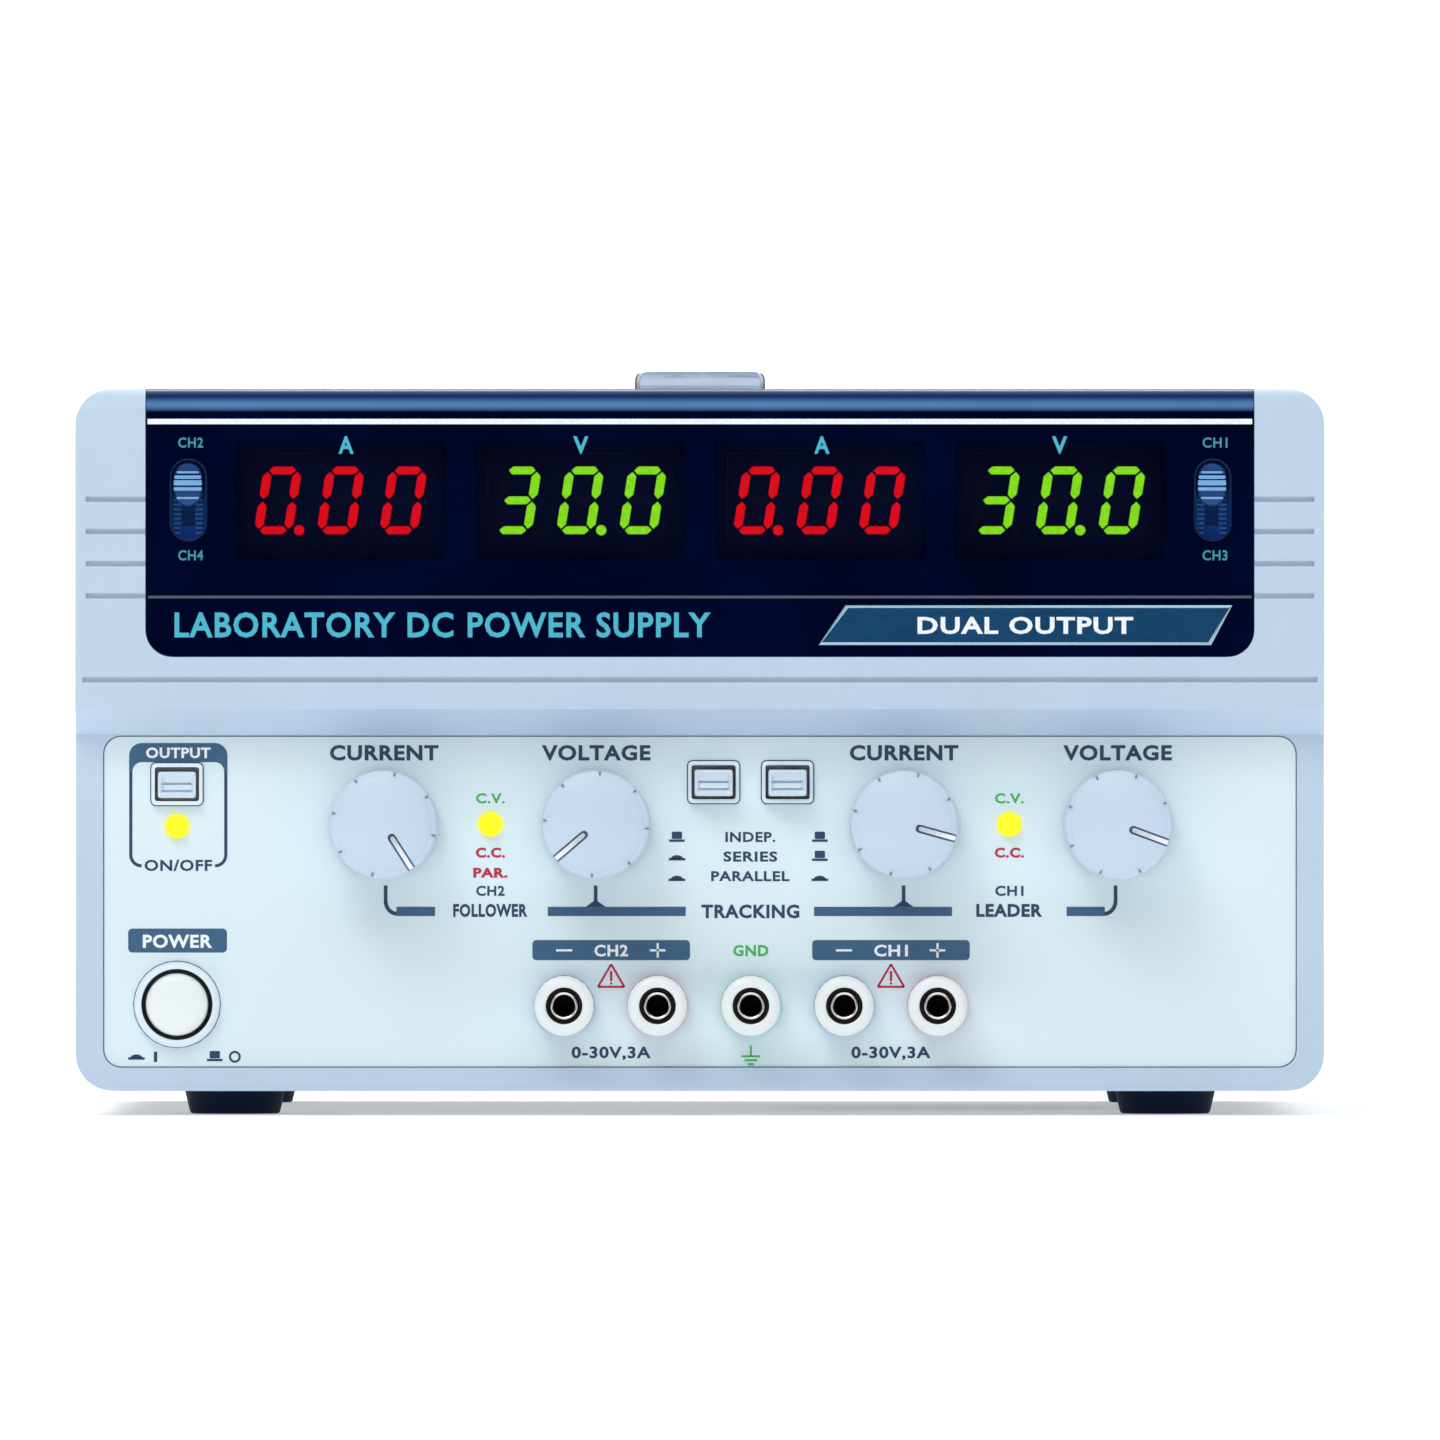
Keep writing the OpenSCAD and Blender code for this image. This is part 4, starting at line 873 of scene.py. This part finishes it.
def make_selector(name):
    """A low domed thumb piece with raised cross bars, lighter in colour as a painted highlight, the stem to its
    switch, and a dust shield behind it.
    """
    low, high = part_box(name)
    x, z = (low.x + high.x) / 2, (low.z + high.z) / 2
    w, h = (high.x - low.x) / MM, (high.z - low.z) / MM
    thumb = [(w - 2 * inset, h - 2 * inset, w / 2 - inset, 0.9 + d)
             for inset, d in ((0.9, 0.0), (0.45, 0.12), (0.15, 0.4), (0.0, 0.9), (0.0, 4.1))]
    stem = solid_outline(rectangle(2, 3), x, z, low.y + 4.9 * MM, high.y)
    new_piece(name + "_thumb", joined([stacked(thumb, x, z, low.y, n=12), stem]), "selector_plastic", name,
              replaces=name)
    # painted highlight: the raised bars get a lighter copy of the thumb's blue, as if lit from above
    bars = []
    for up, tall, inset in ((2.35, 0.5, 0.75), (1.35, 0.75, 0.3), (0.2, 1.1, 0.15), (-1.05, 0.75, 0.15),
                            (-2.9, 0.5, 0.75)):
        steps = ((0.22, 0.0), (0.08, 0.08), (0.0, 0.3), (0.0, 1.3))
        rib = [(w - 2 * (inset + s), tall - 2 * s, 0.2, d) for s, d in steps]
        bars.append(stacked(rib, x, z + up * MM, low.y))
    new_piece(name + "_highlight_bars", joined(bars), "selector_light", name, "selector_plastic")
    shield = [(7.0, 17.2, 0.6, 0.04), (7.0, 17.2, 0.6, 0.24)]
    new_piece(name + "_shield", stacked(shield, x, z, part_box("selector_guides")[1].y), "switch_blue", name,
              "selector_plastic")


def make_selector_guides():
    """A thin lip round each selector's opening in the window, and fine ribs on the floor under it, lighter than
    the floor as a painted highlight.
    """
    w, h = 7.5, 16.8
    guide_low, guide_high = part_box("selector_guides")
    z = (guide_low.z + guide_high.z) / 2
    floor = guide_high.y - 0.8 * MM
    lip = [(w + 2 * g, h + 2 * g, w / 2 + g, d)
           for g, d in ((-0.3, 0.4), (-0.3, -0.1), (-0.2, -0.18), (0.0, -0.18), (0.1, -0.06), (0.1, 0.02))]
    # painted highlight: the floor ribs are a lighter copy of the floor's blue
    rib = [(1.5, 0.4, 0.1, -0.12), (1.5, 0.4, 0.1, 0.04)]
    lips, highlight_ribs = [], []
    for selector in SELECTORS:
        x = centre(selector).x
        lips.append(stacked(lip, x + 0.15 * MM, z, WINDOW, ring=True, n=12))
        for k in range(-7, 8):
            highlight_ribs += [stacked(rib, x + side * MM, z + 0.95 * k * MM, floor) for side in (-2.25, 2.25)]
    new_piece("selector_rims", joined(lips), "rim_blue", CASE, "navy_plastic")
    new_piece("selector_floor_rib_highlights", joined(highlight_ribs), "rib_blue", CASE, "navy_plastic")


for selector in SELECTORS:
    make_selector(selector)
make_selector_guides()


# ---- strap and its end caps


def make_strap():
    """One soft strap: the grip in the middle, and two straight ends that run between the caps and the grip."""
    grip_low, grip_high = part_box("strap_grip")
    end_low, end_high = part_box("strap_ends")
    z = (grip_low.z + grip_high.z) / 2
    section = round_rect((grip_high.x - grip_low.x) / MM, (grip_high.z - grip_low.z) / MM, 0.9, 5)

    def stretch(name, y0, y1, rings, body=None):
        loops = [placed(section, 0, z, y0 + (y1 - y0) * i / rings) for i in range(rings + 1)]
        return new_piece(name, loft(loops), "strap_vinyl", body)

    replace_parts(stretch("strap_grip_soft", grip_low.y, grip_high.y, 40, "strap_grip"), "strap_grip")
    front = stretch("strap_end_front", end_low.y, grip_low.y, 60)
    rear = stretch("strap_end_rear", grip_high.y, end_high.y, 60)
    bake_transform(front)
    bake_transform(rear)
    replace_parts(front, "strap_ends")


def arch(w, low, high, r):
    """An upright outline with a flat foot and round top corners."""
    right, left = arc(w / 2 - r, high - r, r, 0, 90, 6), arc(r - w / 2, high - r, r, 90, 180, 6)
    return [(w / 2, low)] + right + left + [(-w / 2, low)]


def make_handle_caps():
    """Chromed end caps: a bright rim round a sunk, sloping end face, hollow where the strap slides in."""
    low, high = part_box("handle_caps")
    w = (high.x - low.x) / MM
    foot, top, corner = low.z / MM, high.z / MM, 2.4

    def loop(end, way, inset, depth, slope=0.0):
        outline = arch(w - 2 * inset, foot, top - inset, max(0.3, corner - inset))
        return [(u * MM, end + way * (depth + slope * (v - foot)) * MM, v * MM) for u, v in outline]

    steps = [(1.25, 1.3, -0.06), (1.2, 0.75, -0.05), (1.0, 0.15), (0.5, 0.02), (0.15, 0.2), (0.0, 0.7),
             (0.0, 27.3), (0.15, 27.8), (0.5, 28.0), (0.85, 27.8), (0.9, 27.3), (0.9, 4.0)]
    parts = [loft([loop(end, way, *step) for step in steps]) for end, way in ((low.y, 1), (high.y, -1))]
    new_piece("handle_end_caps", joined(parts), "chrome_trim", CASE, replaces="handle_caps")


make_strap()
make_handle_caps()


# ---- legends

LETTER_RISE = 1.08  # printed height of a capital, over the height that is asked for


def lettering(words, bold):
    """Words in the plain built-in lettering, one unit tall, as a thin mesh."""
    curve = bpy.data.curves.new("words", "FONT")
    curve.body = words
    curve.size = 1.0
    curve.space_character = 1.1
    curve.offset = bold
    curve.resolution_u = 3
    curve.extrude = 0.5
    obj = added("words", curve)
    bpy.context.view_layer.update()
    mesh = bpy.data.meshes.new_from_object(obj.evaluated_get(bpy.context.evaluated_depsgraph_get()))
    bpy.data.objects.remove(obj)
    return mesh


class Print:
    """Everything printed in one ink: thin raised shapes on a face that looks along -Y."""

    def __init__(self, name, look, y, height=0.04):
        self.name, self.look, self.parts = name, look, []
        self.face, self.back = y - height * MM, y + 0.01 * MM

    def shape(self, outline, x=0.0, z=0.0):
        self.parts.append(solid_outline(outline, x * MM, z * MM, self.face, self.back))

    def line(self, x0, z0, x1, z1, width):
        a, b = Vector((x0, z0)), Vector((x1, z1))
        side = Vector((-(b - a).y, (b - a).x)).normalized() * width / 2
        self.shape([a + side, b + side, b - side, a - side])

    def path(self, points, width):
        """A bent line with mitred corners."""
        left, right = [], []
        points = [Vector(p) for p in points]
        for i, p in enumerate(points):
            before = (p - points[i - 1]).normalized() if i else (points[1] - p).normalized()
            after = (points[i + 1] - p).normalized() if i < len(points) - 1 else before
            along = (before + after).normalized()
            side = Vector((-along.y, along.x)) * width / 2 / max(0.5, along.dot(after))
            left.append(p + side)
            right.append(p - side)
        for i in range(len(points) - 1):
            self.shape([left[i], left[i + 1], right[i + 1], right[i]])

    def box(self, x, z, w, h, r=0.3):
        self.shape(round_rect(w, h, r), x, z)

    def text(self, words, x, z, cap, width, bold):
        """Words centred on x, z, with capitals of that height, stretched to that width."""
        capital = lettering("H", bold)
        mesh = lettering(words, bold)
        widths = [v.co.x for v in mesh.vertices]
        heights = [v.co.y for v in capital.vertices]
        middle = (min(widths) + max(widths)) / 2
        down = LETTER_RISE * cap / (max(heights) - min(heights))
        level = (max(heights) + min(heights)) / 2
        across = width / (max(widths) - min(widths))
        verts = []
        for v in mesh.vertices:
            y = self.face if v.co.z > 0 else self.back
            verts.append(((x + (v.co.x - middle) * across) * MM, y, (z + (v.co.y - level) * down) * MM))
        self.parts.append((verts, [list(p.vertices) for p in mesh.polygons]))
        bpy.data.meshes.remove(mesh)
        bpy.data.meshes.remove(capital)

    def make(self):
        new_piece(self.name, joined(self.parts), self.look, CASE, smooth=30)


def panel_legends():
    """Everything printed on the control panel, with thin navy outlines round the button frames that are painted
    shadow.
    """
    navy = Print("panel_print_navy", "navy_ink", PANEL)
    head = Print("panel_print_headers", "header_ink", PANEL, 0.045)
    white = Print("panel_print_white", "white_ink", PANEL, 0.075)
    green = Print("panel_print_green", "green_ink", PANEL)
    red = Print("panel_print_red", "red_ink", PANEL)
    knob_legends(navy, green, red)
    channel_bars(navy, head)
    terminal_legends(navy, head, white, green, red)
    # painted shadow: a thin navy outline round each button frame stands for the shadow gap at its edge
    for button in BUTTONS:
        c = centre(button)
        ring = round_rect(10.65, 8.75, 1.1)
        navy.path([(c.x / MM + u, c.z / MM + v) for u, v in ring + ring[:1]], 0.3)
    output_frame(navy, head, white)
    power_legends(navy, head, white)
    for made in (navy, head, white, green, red):
        made.make()


def knob_legends(navy, green, red):
    """Words over the knobs, the modes at each lamp, and the table of the tracking buttons."""
    knob_z = centre(KNOBS[0]).z / MM
    for knob, words in zip(KNOBS, ("CURRENT", "VOLTAGE") * 2):
        navy.text(words, centre(knob).x / MM, knob_z + 14.6, 2.9, 22.2, 0.034)
    for x, channel, role, width in ((-42.8, "CH2", "FOLLOWER", 15.2), (63.2, "CH1", "LEADER", 13.5)):
        green.text("C.V.", x, 64.8, 1.9, 5.9, 0.03)
        red.text("C.C.", x, 53.7, 1.9, 6.0, 0.045)
        navy.text(channel, x, 45.9, 1.9, 5.8, 0.03)
        navy.text(role, x, 41.9, 2.45, width, 0.04)
    red.text("PAR.", -42.8, 49.6, 1.9, 7.0, 0.045)
    for z, words, width in ((56.9, "INDEP.", 10.2), (52.9, "SERIES", 11.0), (48.9, "PARALLEL", 16.0)):
        navy.text(words, 10.3, z, 1.9, width, 0.03)
    for x, states in ((-4.7, "OII"), (24.5, "OOI")):
        for z, state in zip((56.7, 52.8, 48.6), states):
            button_sign(navy, x, z, state)
    navy.text("TRACKING", 10.3, 41.7, 2.55, 20.0, 0.036)


def channel_bars(navy, head):
    """Bars that tie the knobs to their channel."""
    bar_z, thick, stem_top, stem_width = 41.7, 1.9, 47.0, 0.75
    knob_x = [centre(knob).x / MM for knob in KNOBS]
    for x0, x1, stem in ((-31.1, -2.9, knob_x[1] - 0.1), (23.3, 51.5, knob_x[2] - 0.1)):
        head.box((x0 + x1) / 2, bar_z, x1 - x0, thick, 0.1)
        navy.line(stem, bar_z + 0.9, stem, stem_top, stem_width)
        for side in (-1, 1):
            corner = [(stem + side * out, bar_z + up) for out, up in ((0.3, 2.2), (0.3, 0.8), (2.2, 0.8))]
            navy.shape(corner if side > 0 else corner[::-1])
    for stem, end, side in ((knob_x[0] + 0.3, -54.1, 1), (knob_x[3] - 0.4, 74.9, -1)):
        navy.line(stem, bar_z + 2.0, stem, stem_top, stem_width)
        start = 180 if side > 0 else 0
        navy.path(arc(stem + side * 2.4, bar_z + 2.1, 2.4, start, start + 90 * side, 8, 2.6), 0.8)
        head.box((stem + side * 2.2 + end) / 2, bar_z, abs(end - stem) - 2.2, thick, 0.1)


def terminal_legends(navy, head, white, green, red):
    """Headers, ratings and warning signs of the binding posts, and the ground sign."""
    post_x = [centre(cap).x / MM for cap in CAPS]
    for left, words in ((0, "CH2"), (3, "CH1")):
        x = (post_x[left] + post_x[left + 1]) / 2 + 0.05
        head.box(x, 33.8, 32.2, 4.1, 0.8)
        white.text(words, x, 33.7, 2.2, 6.9, 0.03)
        for off, w, h in ((-9.6, 3.3, 0.45), (9.5, 3.2, 0.45), (9.5, 0.45, 3.0)):
            white.box(x + off, 33.75, w, h, 0.05)
        navy.text("0-30V,3A", x, 12.9, 2.2, 16.2, 0.03)
        warning_sign(red, x, 28.0)
    ground = post_x[2]
    green.text("GND", ground, 33.7, 2.1, 7.2, 0.034)
    green.line(ground, 14.3, ground, 12.1, 0.35)
    for k, w in enumerate((3.8, 2.6, 1.3)):
        green.box(ground, 12.1 - 0.8 * k, w, 0.4, 0.05)


def button_sign(ink_print, x, z, state):
    """The sign for a push button standing out (O) or pushed in (I)."""
    if state == "O":
        ink_print.box(x, z + 0.55, 2.1, 1.5, 0.25)
        ink_print.box(x, z - 0.55, 3.2, 0.5, 0.05)
    else:
        ink_print.shape(arc(0, 0, 1.25, 0, 180, 8, 0.75), x, z - 0.35)
        ink_print.box(x, z - 0.45, 3.4, 0.5, 0.05)


def warning_sign(ink_print, x, z):
    """A triangle with an upright stroke in it."""
    top, left, right = (x, z + 2.9), (x - 2.7, z - 1.7), (x + 2.7, z - 1.7)
    for a, b in ((top, left), (left, right), (right, top)):
        ink_print.line(*a, *b, 0.45)
    ink_print.box(x, z + 0.5, 0.5, 2.1, 0.1)
    ink_print.box(x, z - 1.0, 0.5, 0.45, 0.1)


def output_frame(navy, head, white):
    """The frame round the output button and its lamp, with its header."""
    left, right, top, bottom = -116.6, -96.5, 76.1, 51.0
    drop, corner, inner, foot, line = 5.8, 2.6, 1.9, 2.2, 0.7
    middle = (left + right) / 2
    outline = arc(left + corner, top - corner, corner, 180, 90, 8)
    underside = arc(left + line + inner, top - drop, inner, 180, 90, 8)
    half = underside[::-1] + [(left, top - drop)] + outline
    head.shape((half + [(2 * middle - u, v) for u, v in half[::-1]])[::-1])
    white.text("OUTPUT", middle, top - 2.0, 2.0, 13.2, 0.034)
    for side, start in ((-1, 180), (1, 0)):
        x = middle + side * (right - left - line) / 2
        bend = arc(x - side * foot, bottom + foot, foot, start, start - 90 * side, 6)
        navy.path([(x, top - drop)] + bend, line - 0.05)
    navy.text("ON/OFF", middle, bottom + 0.1, 2.1, 13.8, 0.028)


def power_legends(navy, head, white):
    """The header over the power button, a thin dark ring round it that is painted shadow, and the signs for on
    and off under it.
    """
    c = centre("power_button") / MM
    x = c.x + 0.1
    head.box(x, 35.75, 20.2, 4.9, 0.9)
    white.text("POWER", x, 35.6, 2.5, 14.2, 0.034)
    button_sign(navy, x - 8.4, 12.1, "I")
    navy.box(x - 4.5, 12.0, 0.7, 2.1, 0.05)
    button_sign(navy, x + 7.6, 11.9, "O")
    navy.path(arc(x + 11.7, 12.0, 1.0, 0, 360, 24), 0.45)
    # painted shadow: a thin navy ring at the edge of the button's ring
    navy.path(arc(c.x, c.z, 8.88, 0, 360, 24), 0.16)


def window_legends():
    """Units over the meters, channels at the selectors, the title, a white printed line across the window, and a
    grey line that is a painted highlight of the ridge across it.
    """
    cyan = Print("window_print_cyan", "cyan_ink", WINDOW, 0.03)
    teal = Print("window_print_teal", "teal_ink", WINDOW, 0.03)
    white = Print("window_print_line", "white_ink", WINDOW, 0.03)
    # painted highlight: a grey line inside the window where a ridge runs across it
    ridge_highlight = Print("window_ridge_highlight", "ridge_grey", WINDOW + 0.5 * MM, 0.03)
    for x, words in zip((-72.2, -24.3, 24.9, 73.4), "AVAV"):
        cyan.text(words, x, 136.9, 3.3, 3.1, 0.026)
    low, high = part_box("selector_guides")
    for x, over, under in ((low.x / MM + 5.7, "CH2", "CH4"), (high.x / MM - 4.5, "CH1", "CH3")):
        teal.text(over, x, 137.4, 1.9, 5.1, 0.02)
        teal.text(under, x, 114.4, 1.9, 5.1, 0.02)
    cyan.text("LABORATORY DC POWER SUPPLY", -52.5, 100.2, 4.7, 109.4, 0.024)
    white.box(0, 141.7, 225.4, 1.1, 0.05)
    ridge_highlight.box(0, 105.9, 225.2, 0.55, 0.05)
    for made in (cyan, teal, white, ridge_highlight):
        made.make()


def make_badge():
    """A plain slanted badge with a bright edge and a generic wording."""
    outer = [(24.2, 96.1), (29.7, 104.2), (108.6, 104.2), (104.3, 96.1)]
    middle = (66.4, 100.15)

    def loop(by_x, by_z, depth):
        outline = [(middle[0] + (u - middle[0]) * by_x, middle[1] + (v - middle[1]) * by_z) for u, v in outer]
        return placed(outline, 0, 0, WINDOW + depth * MM)

    edge = [(1, 1, 0.02), (1, 1, -0.22), (0.992, 0.93, -0.3), (0.985, 0.87, -0.22), (0.985, 0.87, 0.02)]
    new_piece("badge_edge", loft([loop(*step) for step in edge], ring=True), "badge_edge", CASE, smooth=20)
    field = loft([loop(0.984, 0.86, depth) for depth in (0.02, -0.16)])
    new_piece("badge_field", field, "badge_blue", CASE, smooth=20)
    words = Print("badge_words", "white_ink", WINDOW - 0.16 * MM, 0.05)
    words.text("DUAL OUTPUT", 66.4, 100.1, 3.2, 44, 0.03)
    words.make()


panel_legends()
window_legends()
make_badge()


# ---- light and floor

LIGHTS = {  # place, what it points at, size in metres, power in watts
    "key": ((-0.5, -0.9, 1.3), (0, 0, 0.08), (0.7, 0.5), 5.5),
    "top": ((0.0, 0.1, 1.15), (0, 0, 0.1), (1.2, 0.8), 3.2),
    "wash": ((0, -3.2, 2.8), (0, -2.3, 0), (5.0, 3.0), 72),
    "far_floor": ((0, 2.0, 2.4), (0, 1.7, 0), (5.0, 2.0), 60),
    "backdrop": ((0, 5.0, 4.0), (0, 8.5, 1.0), (7.0, 2.0), 420),
}


def area_light(name, place, aim, size, power):
    data = bpy.data.lights.new(name, "AREA")
    data.shape = "RECTANGLE"
    data.size, data.size_y = size
    data.energy = power
    light = added(name, data)
    light.location = place
    light.rotation_euler = (Vector(aim) - Vector(place)).to_track_quat("-Z", "Y").to_euler()


def make_stage():
    """A pale sweep: a floor that curves up behind the object."""
    near, far, radius, half, top = -10.0, 9.0, 2.5, 10.0, 9.0
    bend = arc(far - radius, radius, radius, -85, 0, 17)
    profile = [(near, 0.0), (far - radius, 0.0)] + bend + [(far, top)]
    verts = [(x, y, z) for y, z in profile for x in (-half, half)]
    faces = [[2 * i, 2 * i + 1, 2 * i + 3, 2 * i + 2] for i in range(len(profile) - 1)]
    mesh = bpy.data.meshes.new("sweep")
    mesh.from_pydata(verts, [], faces)
    mesh.polygons.foreach_set("use_smooth", [True] * len(faces))
    mesh.materials.append(LOOKS["sweep"])
    shader = LOOKS["sweep"].node_tree.nodes["Principled BSDF"]
    shader.inputs["Emission Color"].default_value = (1, 1, 1, 1)
    shader.inputs["Emission Strength"].default_value = 0.3
    added("sweep", mesh)


def make_light():
    """A soft studio: a sky that brightens upward, and the area lights."""
    world = bpy.data.worlds.new("studio")
    bpy.context.scene.world = world
    world.use_nodes = True
    nodes, links = world.node_tree.nodes, world.node_tree.links
    where, split, rise = [nodes.new("ShaderNode" + kind) for kind in ("TexCoord", "SeparateXYZ", "MapRange")]
    for name, value in (("From Min", -0.15), ("From Max", 0.75), ("To Min", 0.09), ("To Max", 0.28)):
        rise.inputs[name].default_value = value
    links.new(where.outputs["Generated"], split.inputs[0])
    links.new(split.outputs["Z"], rise.inputs["Value"])
    links.new(rise.outputs["Result"], nodes["Background"].inputs["Strength"])
    nodes["Background"].inputs["Color"].default_value = (0.93, 0.97, 1.0, 1)
    for name, settings in LIGHTS.items():
        area_light(name, *settings)
    bpy.context.scene.view_settings.view_transform = "Standard"


make_stage()
make_light()
